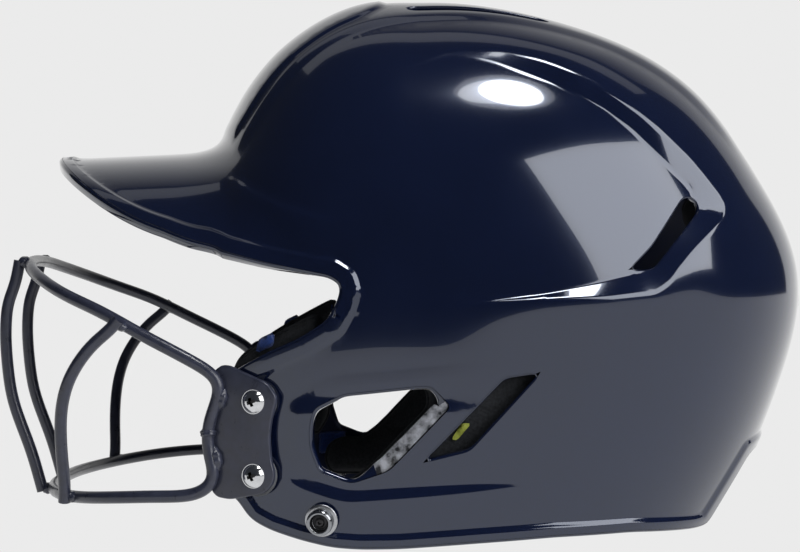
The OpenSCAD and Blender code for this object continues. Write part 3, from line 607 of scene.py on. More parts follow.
def far_from(points, others, gap, start):
    """Greedy thinning: keeps points that lie at least a gap from all kept before them."""
    cells = {}
    chosen = []

    def cell(p):
        return tuple(np.floor(p / gap).astype(int))

    for p in others:
        cells.setdefault(cell(p), []).append(p)
    around = [(i, j, k) for i in (-1, 0, 1) for j in (-1, 0, 1) for k in (-1, 0, 1)]
    for number, p in enumerate(points):
        x, y, z = cell(p)
        near = (o for i, j, k in around for o in cells.get((x + i, y + j, z + k), ()))
        if all((o[0] - p[0]) ** 2 + (o[1] - p[1]) ** 2 + (o[2] - p[2]) ** 2 >= gap * gap for o in near):
            cells.setdefault((x, y, z), []).append(p)
            chosen.append(start + number)
    return chosen


def linked(name, data):
    """An object for its data, in the scene."""
    obj = bpy.data.objects.new(name, data)
    bpy.context.scene.collection.objects.link(obj)
    return obj


def mesh_piece(name, verts, faces, material):
    """A mesh object from points in millimetres."""
    mesh = bpy.data.meshes.new(name)
    mesh.from_pydata([tuple(v) for v in np.asarray(verts) * MM], [], [tuple(int(i) for i in f) for f in faces])
    mesh.validate()
    mesh.update()
    mesh.shade_smooth()
    mesh.materials.append(material)
    return linked(name, mesh)


def shell_points():
    """Map points of the outer sheet: its boundary loops, the rings beside them, and the crease lines."""
    turns = np.arange(TURNS) * 2 * math.pi / TURNS
    columns = (np.arange(TURNS // 2 + 1) + TURNS // 4 * 3) % TURNS
    grid = np.stack(np.meshgrid(np.radians(RISES), turns[columns], indexing="ij"), -1)
    p = base_point(polar_map(grid[..., 1], grid[..., 0]))

    def whole(values):
        """The field on both sides, from its values on the left one."""
        full = np.zeros((len(RISES), TURNS))
        for side in (columns, (TURNS // 2 - columns) % TURNS):
            full[:, side] = values.reshape(grid.shape[:2])
        return full

    keep = whole(kept(p))
    loops = [respaced(line, True, EDGE_STEP) for line, closed in iso_lines(keep, 0.0) if closed]
    loops = [loop for loop in loops if len(loop) > 12]
    fields = feature_fields(p)
    creases = []
    for name, levels in CREASES:
        field = whole(fields[name])
        for level in levels:
            for line, closed in iso_lines(field, level):
                pts = respaced(line, closed, CREASE_STEP)
                creases.append(pts[kept(base_point(pts)) > CREASE_INSET])
    rings = [respaced(line, closed, EDGE_STEP) for line, closed in iso_lines(keep, RING_INSET)]
    return loops, np.vstack(rings), np.vstack(creases)


def scattered(step):
    """Even map points over the whole shell, denser where the visor lies flat to their direction."""
    down = math.degrees(step * 0.9 / 116)
    points = []

    def row(rise, radius, shift, start=-1, end=360):
        n = max(6, int(2 * math.pi * math.cos(math.radians(rise)) * radius / step))
        a = (np.arange(n) + shift) * 2 * math.pi / n
        a = a[(a > math.radians(start)) & (a < math.radians(end))]
        points.append(polar_map(a, np.full(len(a), math.radians(rise))))

    rise, number = 89.0, 0
    while rise > -52.5:
        row(rise, 112, 0.5 * (number % 2))
        rise -= down
        number += 1
    for k in range(3):
        rise = 33.0 - k * 0.33 * down
        while rise > 12:
            row(rise, 125, 0.33 * k, 205, 335)
            rise -= down
    return np.vstack(points)


def shell_mesh(step):
    """Map points and triangles of the outer sheet, with each boundary loop's first point and length."""
    loops, rings, creases = shell_points()
    fixed = np.vstack([base_point(loop) for loop in loops])
    base = scattered(step)
    base = base[kept(base_point(base)) > FILL_INSET]
    candidates = np.vstack([rings, creases, base])
    places = base_point(candidates)
    n_fine = len(rings) + len(creases)
    fine = far_from(places[:n_fine], fixed, FINE_GAP, 0)
    rest = far_from(places[n_fine:], np.vstack([fixed, places[fine]]), step * FILL_GAP, n_fine)
    q = np.vstack(loops + [candidates[fine], candidates[rest]])
    tris = triangles_of(q, loops, 1e-9)
    tris = tris[kept(base_point(q[tris].mean(1))) > -0.02]
    lengths = [len(loop) for loop in loops]
    return q, tris, list(zip(np.cumsum([0] + lengths), lengths))


def inner_point(q):
    p = base_point(q)
    n = normal_from(base_point, q)
    return p + (np.minimum(0, height_at(p)) * 0.6 - WALL)[:, None] * n


def edge_rows(width, wall):
    """How far out and how far down each row of an edge's strip lies, first over its corner, then round its foot."""
    flat = ease((width - 1.6) / 1.5)
    drop = np.minimum(width, wall - 1.2)
    soft = np.minimum(0.6, width * 0.6)
    rows = []
    for t in np.arange(1, CORNER_ROWS + 1) / CORNER_ROWS:
        angle = t * math.pi / 2
        rows.append((width * ((1 - flat) * math.sin(angle) + flat * t),
                     drop * ((1 - flat) * (1 - math.cos(angle)) + flat * t)))
    for angle in np.arange(4) * math.pi / 8:
        rows.append((width - soft * (1 - math.cos(angle)), wall - soft + soft * math.sin(angle)))
    return rows, width - soft


def build_shell(material, inside_material, cut_material, step):
    """The moulded shell: an outer sheet, an inner one, and a rounded or chamfered strip round every edge."""
    q, tris, spans = shell_mesh(step)
    outer = outer_point(q)
    normals = normal_from(outer_point, q)
    inner = inner_point(q)
    n = len(q)
    verts = [outer, inner]
    faces = [tuple(f) for f in np.vstack([tris, tris[:, ::-1] + n])]
    count = 2 * n
    cut = set()
    for start, size in spans:
        ids = start + np.arange(size)
        a, up = outer[ids], normals[ids]
        along = np.roll(a, -1, 0) - np.roll(a, 1, 0)
        out = unit(np.cross(along, up))
        if (kept(a + 0.5 * out) > kept(a - 0.5 * out)).mean() > 0.5:
            out = -out
        out = unit(relaxed(out, True, 2))
        width = relaxed(edges_at(base_point(q[ids]))[1], True, 2)
        wall = ((a - inner[ids]) * up).sum(1)
        rows, foot = edge_rows(width, wall)
        rings = [ids]
        for number, (side, down) in enumerate(rows):
            if number < CORNER_ROWS:
                cut.update((count + np.nonzero(width > CUT_WIDTH)[0]).tolist())
            verts.append(a + side[:, None] * out - down[:, None] * up)
            rings.append(count + np.arange(size))
            count += size
        inner[ids] = a + foot[:, None] * out - wall[:, None] * up
        rings.append(n + ids)
        flip = (np.cross(along, out) * up).sum(1).mean() > 0
        for r0, r1 in zip(rings, rings[1:]):
            for i in range(size):
                f = (r0[i], r0[(i + 1) % size], r1[(i + 1) % size], r1[i])
                faces.append(f[::-1] if flip else f)
    shell = mesh_piece("Shell", np.vstack(verts), faces, material)
    mesh = shell.data
    mesh.materials.append(inside_material)
    mesh.materials.append(cut_material)
    for face in mesh.polygons:
        ids = list(face.vertices)
        if all(n <= i < 2 * n for i in ids):
            face.material_index = 1
        # Faces of the wide chamfers take the light grey mottled finish
        elif any(i in cut for i in ids) and all(i in cut or i < n for i in ids):
            face.material_index = 2
    built = np.zeros(len(mesh.vertices) * 3, np.float32)
    mesh.vertices.foreach_get("normal", built)
    built = built.reshape(-1, 3)
    built[:n] = normals
    mesh.normals_split_custom_set_from_vertices([tuple(v) for v in built])
    return shell


def add_node(tree, kind, inputs=None, **settings):
    """A shader node. Each of its inputs takes a plain value or another node's output."""
    made = tree.nodes.new("ShaderNode" + kind)
    for key, value in settings.items():
        setattr(made, key, value)
    for key, value in (inputs or {}).items():
        if isinstance(value, bpy.types.NodeSocket):
            tree.links.new(value, made.inputs[key])
        else:
            made.inputs[key].default_value = value
    return made


def object_place(tree, **mapping):
    """Object coordinates, scaled or turned."""
    coords = add_node(tree, "TexCoord")
    return add_node(tree, "Mapping", {"Vector": coords.outputs["Object"], **mapping}).outputs["Vector"]


def either(tree, a, b):
    return add_node(tree, "Math", {0: a, 1: b}, operation="MAXIMUM").outputs[0]


def new_material(name, inputs):
    """A material with one Principled shader."""
    m = bpy.data.materials.new(name)
    m.use_nodes = True
    tree = m.node_tree
    tree.nodes.clear()
    bsdf = add_node(tree, "BsdfPrincipled", inputs)
    add_node(tree, "OutputMaterial", {0: bsdf.outputs[0]})
    return m, tree, bsdf


def noise(tree, scale, detail, rough):
    place = object_place(tree)
    return add_node(tree, "TexNoise", {
        "Vector": place, "Scale": scale, "Detail": detail, "Roughness": rough}).outputs["Fac"]


def knit(tree, scale):
    """Fine crossing ribs, for cloth."""
    ribs = []
    for turn in ((0.6, 0.3, 0.0), (0.2, 0.9, 1.2)):
        place = object_place(tree, Rotation=turn)
        wave = add_node(tree, "TexWave", {"Vector": place, "Scale": scale, "Distortion": 1.5, "Detail": 2.0})
        ribs.append(wave.outputs["Fac"])
    return either(tree, *ribs)


def ramp(tree, value, stops):
    """A colour ramp fed by a value; stops are (place, colour or grey)."""
    node = add_node(tree, "ValToRGB", {"Fac": value})
    elements = node.color_ramp.elements
    while len(elements) < len(stops):
        elements.new(0.5)
    for e, (place, colour) in zip(elements, stops):
        e.position = place
        e.color = (colour, colour, colour, 1) if isinstance(colour, (int, float)) else (*colour, 1)
    return node.outputs["Color"]


def surface(name, colour, spread, scale, rough, metallic=0.0, coat=0.0, coat_rough=0.03, bumps=None, sheen=0.0,
            cloth=None, gloss=0.5, tint=(1, 1, 1)):
    """A material whose colour and roughness both vary a little with noise."""
    m, tree, bsdf = new_material(name, {
        "Metallic": metallic, "Coat Weight": coat, "Coat Roughness": coat_rough, "Sheen Weight": sheen,
        "Specular IOR Level": gloss, "Specular Tint": (*tint, 1)})
    fac = noise(tree, scale, 5.0, 0.55)
    dark = tuple(c * (1 - spread) for c in colour)
    light = tuple(min(1.0, c * (1 + spread)) for c in colour)
    tree.links.new(ramp(tree, fac, [(0.35, dark), (0.65, light)]), bsdf.inputs["Base Color"])
    tree.links.new(ramp(tree, fac, [(0.3, rough[0]), (0.7, rough[1])]), bsdf.inputs["Roughness"])
    size, strength, distance = cloth or bumps or (0, 0, 0)
    if size:
        height = knit(tree, size) if cloth else noise(tree, size, 3.0, 0.5)
        relief = add_node(tree, "Bump", {"Height": height, "Strength": strength, "Distance": distance})
        tree.links.new(relief.outputs["Normal"], bsdf.inputs["Normal"])
    return m


def make_materials(colours):
    """Every finish, by the short name that the operators use."""
    metal = {"metallic": 1.0}
    return {
        "shell": surface("shell_gloss", colours.shell, 0.12, 14, (0.10, 0.14), coat=1.0, coat_rough=0.015,
                         bumps=(120, 0.02, 0.0002), gloss=0.58, tint=(0.68, 0.78, 1.0)),
        "inside": surface("shell_inside", colours.shell, 0.2, 60, (0.45, 0.6), bumps=(160, 0.1, 0.0004), gloss=0.2),
        # Light grey, strongly mottled, glossy finish for the faces of the wide chamfers
        "cut": surface("shell_cut", (0.30, 0.31, 0.34), 0.9, 260, (0.2, 0.45), bumps=(400, 0.2, 0.0003), gloss=0.9),
        "nickel": surface("nickel", (0.30, 0.31, 0.33), 0.1, 300, (0.12, 0.24), **metal),
        "guard": surface("guard_coat", colours.guard, 0.16, 260, (0.26, 0.40), coat=0.35, coat_rough=0.16,
                         bumps=(1500, 0.14, 0.0001)),
        "chrome": surface("chrome", (0.68, 0.69, 0.71), 0.08, 300, (0.08, 0.20), **metal),
        "steel": surface("steel", (0.48, 0.49, 0.51), 0.14, 260, (0.22, 0.38), bumps=(900, 0.06, 0.0001), **metal),
        "dark_steel": surface("dark_steel", (0.05, 0.05, 0.053), 0.2, 300, (0.3, 0.45), **metal),
        "rubber": surface("spacer_rubber", colours.spacer, 0.1, 400, (0.6, 0.75), bumps=(1200, 0.15, 0.0001)),
        "fabric": surface("pad_fabric", colours.pads, 0.3, 900, (0.85, 0.95), sheen=0.06,
                          cloth=(700, 0.35, 0.0003), gloss=0.15),
        "label": surface("pad_label", colours.label, 0.12, 900, (0.6, 0.75), cloth=(900, 0.3, 0.0002), gloss=0.3),
        "tape": surface("patch_tape", colours.tape, 0.3, 1500, (0.9, 1.0), sheen=0.2, cloth=(1000, 0.6, 0.0004)),
    }


def aimed(obj, place, way, roll=0.0):
    """Puts a lamp or the camera in its place and turns it the way it looks."""
    obj.location = place
    obj.rotation_mode = "QUATERNION"
    obj.rotation_quaternion = Vector(way).to_track_quat("-Z", "Y") @ Quaternion((0, 0, 1), math.radians(roll))
    return obj


def area_light(name, place, aim, size, power, shape="RECTANGLE", roll=0.0):
    data = bpy.data.lights.new(name, "AREA")
    data.shape = shape
    data.size, data.size_y = size
    data.energy = power
    return aimed(linked(name, data), place, Vector(aim) - Vector(place), roll)


def pale_material(name, albedo, painted_fade=False):
    """Paper that the camera and shiny or clear things see as the pale background, and that still takes light."""
    m, tree, bsdf = new_material(name, {"Base Color": (albedo, albedo, albedo, 1), "Roughness": 0.9})
    path = add_node(tree, "LightPath").outputs
    seen = either(tree, either(tree, path["Is Camera Ray"], path["Is Glossy Ray"]), path["Is Transmission Ray"])
    strength = 1.0
    if painted_fade:
        # Painted shade: shiny things see the paper's glow fade darker towards the studio's ceiling
        coords = add_node(tree, "TexCoord")
        split = add_node(tree, "SeparateXYZ", {0: coords.outputs["Object"]})
        height = add_node(tree, "MapRange", {"Value": split.outputs["Z"], "From Min": -1.4, "From Max": 3.5})
        fall = ramp(tree, height.outputs[0], [(0, 1.0), (0.3, 0.6), (0.75, 0.28), (1, 0.12)])
        strength = either(tree, path["Is Camera Ray"], fall)
    glow = add_node(tree, "Emission", {"Color": PALE, "Strength": strength})
    mix = add_node(tree, "MixShader", {0: seen, 1: bsdf.outputs[0], 2: glow.outputs[0]})
    tree.links.new(mix.outputs[0], tree.nodes["Material Output"].inputs[0])
    return m


def pale_sheet(name, place, turn, material):
    """One of the studio's two large sheets of paper."""
    bpy.ops.mesh.primitive_plane_add(size=7, location=place, rotation=turn)
    sheet = bpy.context.object
    sheet.name = name
    bpy.ops.object.transform_apply(location=False, rotation=True, scale=False)
    sheet.data.materials.append(material)
    return sheet


def build_stage():
    """Camera, pale floor and backdrop, and the studio's lamps."""
    scene = bpy.context.scene
    data = bpy.data.cameras.new("Camera")
    data.sensor_width = 36
    data.lens = 36 * FOCAL_PIXELS / 800
    data.clip_start = 0.01
    data.clip_end = 50
    scene.camera = aimed(linked("Camera", data), CAMERA_AT * MM, CAMERA_AIM)
    scene.view_settings.view_transform = "Standard"
    floor = pale_sheet("Floor", (0, 0, -0.003), (0, 0, 0), pale_material("floor_paper", 0.8))
    # The backdrop's glow, as shiny things see it, carries a painted shade that darkens with height
    backdrop = pale_sheet("Backdrop", (-2.6, 0, 1.5), (0, math.pi / 2, 0), pale_material("backdrop_paper", 0.5, True))

    world = bpy.data.worlds.new("World")
    scene.world = world
    world.use_nodes = True
    tree = world.node_tree
    tree.nodes.clear()
    seen = add_node(tree, "Background", {"Color": PALE})
    room = add_node(tree, "Background", {"Color": (0.10, 0.11, 0.13, 1), "Strength": 0.35})
    ray = add_node(tree, "LightPath").outputs["Is Camera Ray"]
    mix = add_node(tree, "MixShader", {0: ray, 1: room.outputs[0], 2: seen.outputs[0]})
    add_node(tree, "OutputWorld", {"Surface": mix.outputs[0]})

    area_light("Key_Core", (0.475, 0.37, 1.37), KEY_AIM, (0.31, 0.34), 3.9, "ELLIPSE")
    area_light("Key_Middle", (0.475, 0.32, 1.38), KEY_AIM, (0.42, 0.30), 1.6, "ELLIPSE")
    area_light("Key_Edge", (0.475, 0.35, 1.39), KEY_AIM, (0.50, 0.45), 0.8, "ELLIPSE")
    area_light("Window", (1.0, 1.24, 0.77), (0.08, 0.06, 0.12), (1.25, 1.15), 17.5, roll=3)
    area_light("Overhead", (-0.40, 0.05, 1.32), (0.0, 0.03, 0.16), (1.9, 0.21), 0.38)


def only(*objs):
    """Leaves just these objects selected, the first of them active."""
    bpy.ops.object.select_all(action="DESELECT")
    for obj in objs:
        obj.select_set(True)
    bpy.context.view_layer.objects.active = objs[0]


def finish_with(obj, kind, **values):
    """Adds one modifier and applies it."""
    only(obj)
    modifier = obj.modifiers.new(kind.title(), kind)
    for key, value in values.items():
        setattr(modifier, key, value)
    bpy.ops.object.modifier_apply(modifier=modifier.name)


def broken_edges(obj, width, segments, degrees):
    finish_with(obj, "BEVEL", width=width * MM, segments=segments, limit_method="ANGLE",
                angle_limit=math.radians(degrees))


def smooth_by(obj, degrees):
    only(obj)
    bpy.ops.object.shade_smooth_by_angle(angle=math.radians(degrees))


def face_outwards(obj):
    """Turns all faces of a closed form outwards."""
    only(obj)
    bpy.ops.object.mode_set(mode="EDIT")
    bpy.ops.mesh.select_all(action="SELECT")
    bpy.ops.mesh.normals_make_consistent(inside=False)
    bpy.ops.object.mode_set(mode="OBJECT")


def finished(obj, material):
    """Gives the whole object one finish."""
    obj.data.materials.clear()
    obj.data.materials.append(material)


def placed(obj, matrix):
    """Moves the mesh itself, and keeps its faces outwards after a mirror."""
    obj.data.transform(matrix)
    if matrix.determinant() < 0:
        obj.data.flip_normals()
    return obj


def settle(obj, slot, *nodes):
    """The piece rides on the body and stands for its CAD nodes, which it hides. The slot is not used."""
    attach(obj, BODY)
    if nodes:
        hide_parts(*nodes)


def mirror_of(side):
    return Matrix.Scale(-1, 4, (1, 0, 0)) if side < 0 else Matrix.Identity(4)


def catmull(points, closed, cuts):
    """A smooth curve through the points, with as many cuts between each two of them."""
    p = np.array(points, float)
    n = len(p)
    out = []
    for i in range(n if closed else n - 1):
        a, b, c, d = (p[k % n if closed else min(n - 1, max(0, k))] for k in range(i - 1, i + 3))
        for t in np.arange(cuts) / cuts:
            out.append(0.5 * (2 * b + (c - a) * t + (2 * a - 5 * b + 4 * c - d) * t**2
                              + (3 * b - a - 3 * c + d) * t**3))
    if not closed:
        out.append(p[-1])
    return np.array(out)


def flowing(points, closed):
    """A curve through the points at even steps, with its small waves smoothed away."""
    p = catmull(points, closed, 10)
    if closed:
        p = np.vstack([p, p[:1]])
    p = even_steps(p, p, lambda length: int(length / WIRE_STEP))
    return relaxed(p[:-1] if closed else p, closed, WIRE_PASSES)


def wire_piece(name, path, diameter, material, closed=False):
    """A round wire along a run of points, with square-cut ends whose edges are broken."""
    data = bpy.data.curves.new(name, "CURVE")
    data.dimensions = "3D"
    data.bevel_depth = diameter / 2 * MM
    data.bevel_resolution = 6
    data.use_fill_caps = not closed
    line = data.splines.new("POLY")
    line.points.add(len(path) - 1)
    for spot, p in zip(line.points, path):
        spot.co = (*(p * MM), 1)
    line.use_cyclic_u = closed
    only(linked(name, data))
    bpy.ops.object.convert(target="MESH")
    wire = bpy.context.object
    wire.name = name
    finished(wire, material)
    if not closed:
        broken_edges(wire, 0.45, 3, 60)
    smooth_by(wire, 40)
    return wire


def frame_near(x, low):
    """Point of the frame wire at one distance from the middle, on its upper or its lower run."""
    c = catmull(FRAME_HALF[26:17:-1] if low else FRAME_HALF[:11], False, 6)
    i = np.nonzero((c[:-1, 0] <= x) & (c[1:, 0] > x))[0][0]
    return c[i] + (c[i + 1] - c[i]) * (x - c[i, 0]) / (c[i + 1, 0] - c[i, 0])


def centre_bar_path(wire):
    """The bar beside the middle, welded to the front of the frame's upper and lower runs."""
    x = CENTRE_BAR_X
    top, foot = (frame_near(x, low) - (0, wire * 0.94, 0) for low in (False, True))
    return [
        (x, top[1] + 0.3, top[2] + 1.6), (x, top[1] - 1.6, top[2] - 8), (x, -160.8, 90), (x, -161.7, 81),
        (x, -161.7, 73), (x, -160.8, 62), (x, -159.5, 53), (x, -157.4, 45.5), (x, -154.8, 38.5),
        (x, -151, 28), (x, foot[1], foot[2] - 1.8),
    ]


def side_bar_path(wire):
    """The bar at the side, welded to the outside of the frame's upper and lower runs."""
    top, foot = (
        frame_near(x, low) + wire * reach * np.array(way) / np.linalg.norm(way)
        for x, low, reach, way in ((84.6, False, 1.03, (0.95, -0.29, 0.11)), (68, True, 0.96, (0.5, -0.86, 0)))
    )
    return [
        tuple(top + (0.3, 1.6, 1.1)), (87.9, -111.6, 81), (87, -115.7, 78), (86, -120.4, 73),
        (84.5, -124.7, 67), (82.6, -128.2, 60), (80.4, -130.3, 52), (78.2, -131.1, 45), (76, -131.3, 38),
        (73.8, -131.1, 30), (71.8, -130.6, 22), tuple(foot - (0, 0, 1.8)),
    ]


def weld_beads(material):
    """Small rippled lumps of weld where wires meet each other and the plates."""
    made = []
    for side, _ in SIDES:
        for place, along, sizes in BEADS:
            bpy.ops.mesh.primitive_ico_sphere_add(subdivisions=4, radius=1)
            bead = bpy.context.object
            w = Vector(along).normalized()
            u = w.cross(Vector((0, 0, 1) if abs(w.z) < 0.9 else (1, 0, 0))).normalized()
            v = w.cross(u)
            for spot in bead.data.vertices:
                x, y, z = spot.co
                puff = 1 + 0.05 * math.sin(9 * x + 3 * y) + 0.04 * math.sin(7 * z - 5 * y)
                spot.co = (w * x * sizes[0] + v * y * sizes[1] + u * z * sizes[2]) * puff * MM
            made.append(placed(bead, mirror_of(side) @ Matrix.Translation(Vector(place) * MM)))
    only(*made)
    bpy.ops.object.join()
    beads = bpy.context.object
    beads.name = "Weld_Beads"
    finished(beads, material)
    only(beads)
    bpy.ops.object.shade_smooth()
    return beads


def wall_spots(a, b, axis, sign):
    """Points of the plain dome seen along one axis, and their outward normals."""
    flat = np.stack([np.atleast_1d(a), np.atleast_1d(b)], 1).astype(float)

    def spot(m):
        return np.insert(flat, axis, MIDDLE[axis] + sign * m, 1)

    def beyond(p):
        v = p - MIDDLE
        r = np.linalg.norm(v, axis=1)
        return r - dome_reach(v / r[:, None])

    low, high = halved(lambda m: beyond(spot(m)) < 0, np.full(len(flat), 5.0), np.full(len(flat), 210.0), 24)
    p = spot((low + high) / 2)
    return p, unit(np.stack([beyond(p + e) - beyond(p - e) for e in np.eye(3) * 0.5], 1))


def side_place(side, y, z, *turns):
    """Where a fitting sits on the side wall: x = 0 on the wall, and +X outwards after the turns in degrees."""
    place = Matrix.Translation(Vector((float(wall_spots(y, z, 0, 1)[0][0, 0]), y, z)) * MM)
    for degrees, axis in turns:
        place = place @ Matrix.Rotation(math.radians(degrees), 4, axis)
    return mirror_of(side) @ place


def plate_frame(side):
    return side_place(side, PLATE_Y, PLATE_Z, (-20, "Z"))


def turned(name, profile, material, segments=64):
    """A turned part about local +X from (radius, along) pairs that start and end on the axis."""
    verts, faces, rows = [], [], []
    for r, x in profile:
        around = 1 if r < 1e-6 else segments
        rows.append(range(len(verts), len(verts) + around))
        for a in np.arange(around) * 2 * math.pi / segments:
            verts.append((x, r * math.cos(a), r * math.sin(a)))
    for a, b in zip(rows, rows[1:]):
        for i in range(segments):
            f = [row[k % len(row)] for row, k in ((a, i), (a, i + 1), (b, i + 1), (b, i))]
            f = [v for k, v in enumerate(f) if v not in f[:k]]
            if len(f) > 2:
                faces.append(f)
    obj = mesh_piece(name, verts, faces, material)
    face_outwards(obj)
    return obj


def soft_profile(points, limit):
    """Breaks the corners of a profile that starts and ends on the axis."""
    p = np.array(points, float)
    corners = [corner_curve(*three, limit, (0, 0.33, 0.67, 1)) for three in zip(p, p[1:], p[2:])]
    return np.vstack([p[:1], *corners, p[-1:]])


def cut_cross(obj, top, depth, arm, material):
    """Cuts the tapered cross for a driver into a head whose top is at local x = top."""
    for turn in (20, 110):
        bpy.ops.mesh.primitive_cube_add(size=1)
        blade = bpy.context.object
        for spot in blade.data.vertices:
            deep = spot.co.x < 0
            long = arm * (0.32 if deep else 1.0)
            wide = 0.5 if deep else 0.75
            spot.co = Vector((-depth if deep else 1.5, spot.co.y * 2 * long, spot.co.z * 2 * wide)) * MM
        placed(blade, Matrix.Rotation(math.radians(turn), 4, "X"))
        placed(blade, Matrix.Translation((top * MM, 0, 0)))
        blade.data.materials.append(material)
        finish_with(obj, "BOOLEAN", object=blade, operation="DIFFERENCE", solver="EXACT", material_mode="TRANSFER")
        bpy.data.objects.remove(blade)


def plate_screw(name, head, material, recess):
    """A truss-head screw with a cross recess; the plate's face is local x = 0."""
    r, h = head / 2, SCREW_RISE
    ball = (r * r + h * h) / (2 * h)
    dome = [(ball * math.sin(a), h - ball + ball * math.cos(a))
            for a in np.linspace(0, math.asin(min(1, r / ball)), 14)]
    profile = dome[:-1] + [(r, 0.35), (r - 0.15, 0.05), (2.4, 0.05), (2.4, -12), (0, -12.6)]
    screw = turned(name, profile, material)
    cut_cross(screw, h, 1.9, 2.6, recess)
    smooth_by(screw, 28)
    return screw


def spacer_disc(name, head, material):
    """A rubber spacer between the plate and the shell, with a swollen rim."""
    return turned(name, soft_profile([
        (0, 0.3), (head - 1.5, 0.3), (head - 1.2, 0.9), (head - 1.1, 1.45), (head - 1.2, 2.0), (head - 1.5, 2.58),
        (0, 2.58)], 0.3), material)


def mounting_plate(name, side, material):
    """The flat plate that carries the guard, with rounded corners and broken edges."""
    outline = rounded(PLATE_OUTLINE, 3.0)
    n = len(outline)
    verts = [(x, y, z) for x in (PLATE_STANDOFF, PLATE_STANDOFF + PLATE_THICK) for y, z in outline]
    faces = [list(range(n))[::-1], list(range(n, 2 * n))]
    faces += [[i, (i + 1) % n, n + (i + 1) % n, n + i] for i in range(n)]
    plate = mesh_piece(name, verts, faces, material)
    face_outwards(plate)
    broken_edges(plate, 0.7, 4, 50)
    smooth_by(plate, 35)
    return placed(plate, plate_frame(side))


def stud_parts(side, washer, head):
    """Base ring, snap head with its hollow, and the small screw inside."""
    w, r, rise = washer / 2, head / 2, STUD_RISE
    dark = FINISHES["dark_steel"]
    ring = turned("Stud_Washer", soft_profile([
        (0, rise + 0.3), (w, rise + 0.3), (w, rise + 1.1), (w - 1.1, rise + 1.5), (0, rise + 1.5)], 0.3),
        FINISHES["steel"])
    cap = turned("Stud_Head", soft_profile([
        (0, -6.4), (2.0, -6.4), (2.0, rise + 1.45), (r - 1, rise + 1.52), (r - 1.1, rise + 2.7), (r, rise + 3.6),
        (r, rise + 4.7), (r - 0.8, rise + 5.6), (r - 1.5, rise + 5.5), (r - 1.8, rise + 3.0), (0, rise + 2.7)],
        0.45), FINISHES["nickel"])
    screw = turned("Stud_Screw", soft_profile([
        (0, rise + 2.2), (2.9, rise + 2.2), (2.9, rise + 3.3), (1.7, rise + 3.5), (1.5, rise + 4.1), (0, rise + 4.3)],
        0.4), dark, 40)
    cut_cross(screw, rise + 4.3, 1.1, 1.1, dark)
    for part in (ring, cap, screw):
        smooth_by(part, 32)
        placed(part, side_place(side, STUD_Y, STUD_Z, (-9, "Z"), (8, "Y")))
    return ring, cap, screw


def round_block(turns, rises, axis):
    """Outline of a round-cornered block of the dome between two turns and two rises, seen along one axis."""
    a = np.arange(64) * 2 * math.pi / 64
    u, v = (np.sign(wave) * np.abs(wave) ** (2 / PAD_POWER) for wave in (np.cos(a), np.sin(a)))
    turn = np.radians((turns[0] + turns[1]) / 2 + u * (turns[1] - turns[0]) / 2)
    rise = np.radians((rises[0] + rises[1]) / 2 + v * (rises[1] - rises[0]) / 2)
    d = heading(turn, rise)
    return np.delete(MIDDLE + (dome_reach(d) - 3)[:, None] * d, axis, 1)


def ring_points(loop, spacing):
    """Even steps along a closed outline."""
    q = np.vstack([loop, loop[:1]])
    return even_steps(q, q, lambda length: max(8, int(length / spacing)))[:-1]


def between_loops(p, loops):
    """How far flat points lie inside the first loop and outside the others."""
    return np.minimum.reduce([signed_distance(p, loops[0])] + [-signed_distance(p, hole) for hole in loops[1:]])


def piping_round(loops, front, normal, first):
    """The cord sewn along a cushion's loops: rings of points, and faces that count from the first of them."""
    verts, faces = [], []
    start = 0
    for loop in loops:
        k = len(loop)
        centre, up = front[start:start + k], normal[start:start + k]
        out = np.cross(unit(np.roll(centre, -1, 0) - np.roll(centre, 1, 0)), up)
        for i in range(8):
            angle = i * math.pi / 4
            verts.append(centre + PIPING * (math.cos(angle) * out + math.sin(angle) * up))
            e, f = first + i * k, first + (i + 1) % 8 * k
            faces += [[e + j, e + (j + 1) % k, f + (j + 1) % k, f + j] for j in range(k)]
        first += 8 * k
        start += k
    return verts, faces


def cushion(name, outline, material, axis, sign, depth, thick, spacing, seams=(), holes=(), piped=True):
    """A crowned, closed form on the shell's inner wall: full in the middle, drawn in at its edge and its seams."""
    loops = [ring_points(np.asarray(line), spacing * 0.9) for line in (outline, *holes)]
    low, high = loops[0].min(0), loops[0].max(0)
    rows = np.arange(low[1], high[1], spacing * 0.87)
    grid = np.array([(x, y) for k, y in enumerate(rows)
                     for x in np.arange(low[0] + (k % 2) * spacing / 2, high[0], spacing)])
    grid = grid[between_loops(grid, loops) > spacing * 0.55]
    q = np.vstack([*loops, grid])
    n, m = len(q), len(q) - len(grid)
    tris = triangles_of(q, loops, 1e-7)
    tris = tris[between_loops(q[tris].mean(1), loops) > 0]
    wall, normal = wall_spots(q[:, 0], q[:, 1], axis, sign)
    d = np.maximum(0, between_loops(q, loops))
    d[:m] = 0
    full, flat = (np.sqrt(1 - (1 - np.minimum(1, d / (thick * part))) ** 2) for part in (0.95, 0.3))
    sewn = np.ones(n)
    for seam in seams:
        sewn *= 1 - 0.42 * np.exp(-(path_distance(q, seam) / (thick * 0.16)) ** 1.4)
    wave = 0.25 * np.sin(q[:, 0] * 0.31 + 1.3) * np.sin(q[:, 1] * 0.27 + 0.4)
    front = wall - (depth + thick * (0.4 + 0.6 * full * sewn) + wave * full)[:, None] * normal
    rear = wall - (depth + thick * 0.4 * (1 - flat))[:, None] * normal
    rear_ids = np.concatenate([np.arange(m), n + np.arange(n - m)])
    verts = [front, rear[m:]]
    faces = [list(f) for f in tris] + [list(rear_ids[f][::-1]) for f in tris]
    a, b, c = front[tris[0]]
    if np.dot(np.cross(b - a, c - a), normal[tris[0][0]]) > 0:
        faces = [f[::-1] for f in faces]
    if piped:
        more_verts, more_faces = piping_round(loops, front, normal, 2 * n - m)
        verts += more_verts
        faces += more_faces
    obj = mesh_piece(name, np.vstack(verts), faces, material)
    face_outwards(obj)
    return obj, [i for i in range(m, n) if sewn[i] > 0.9]


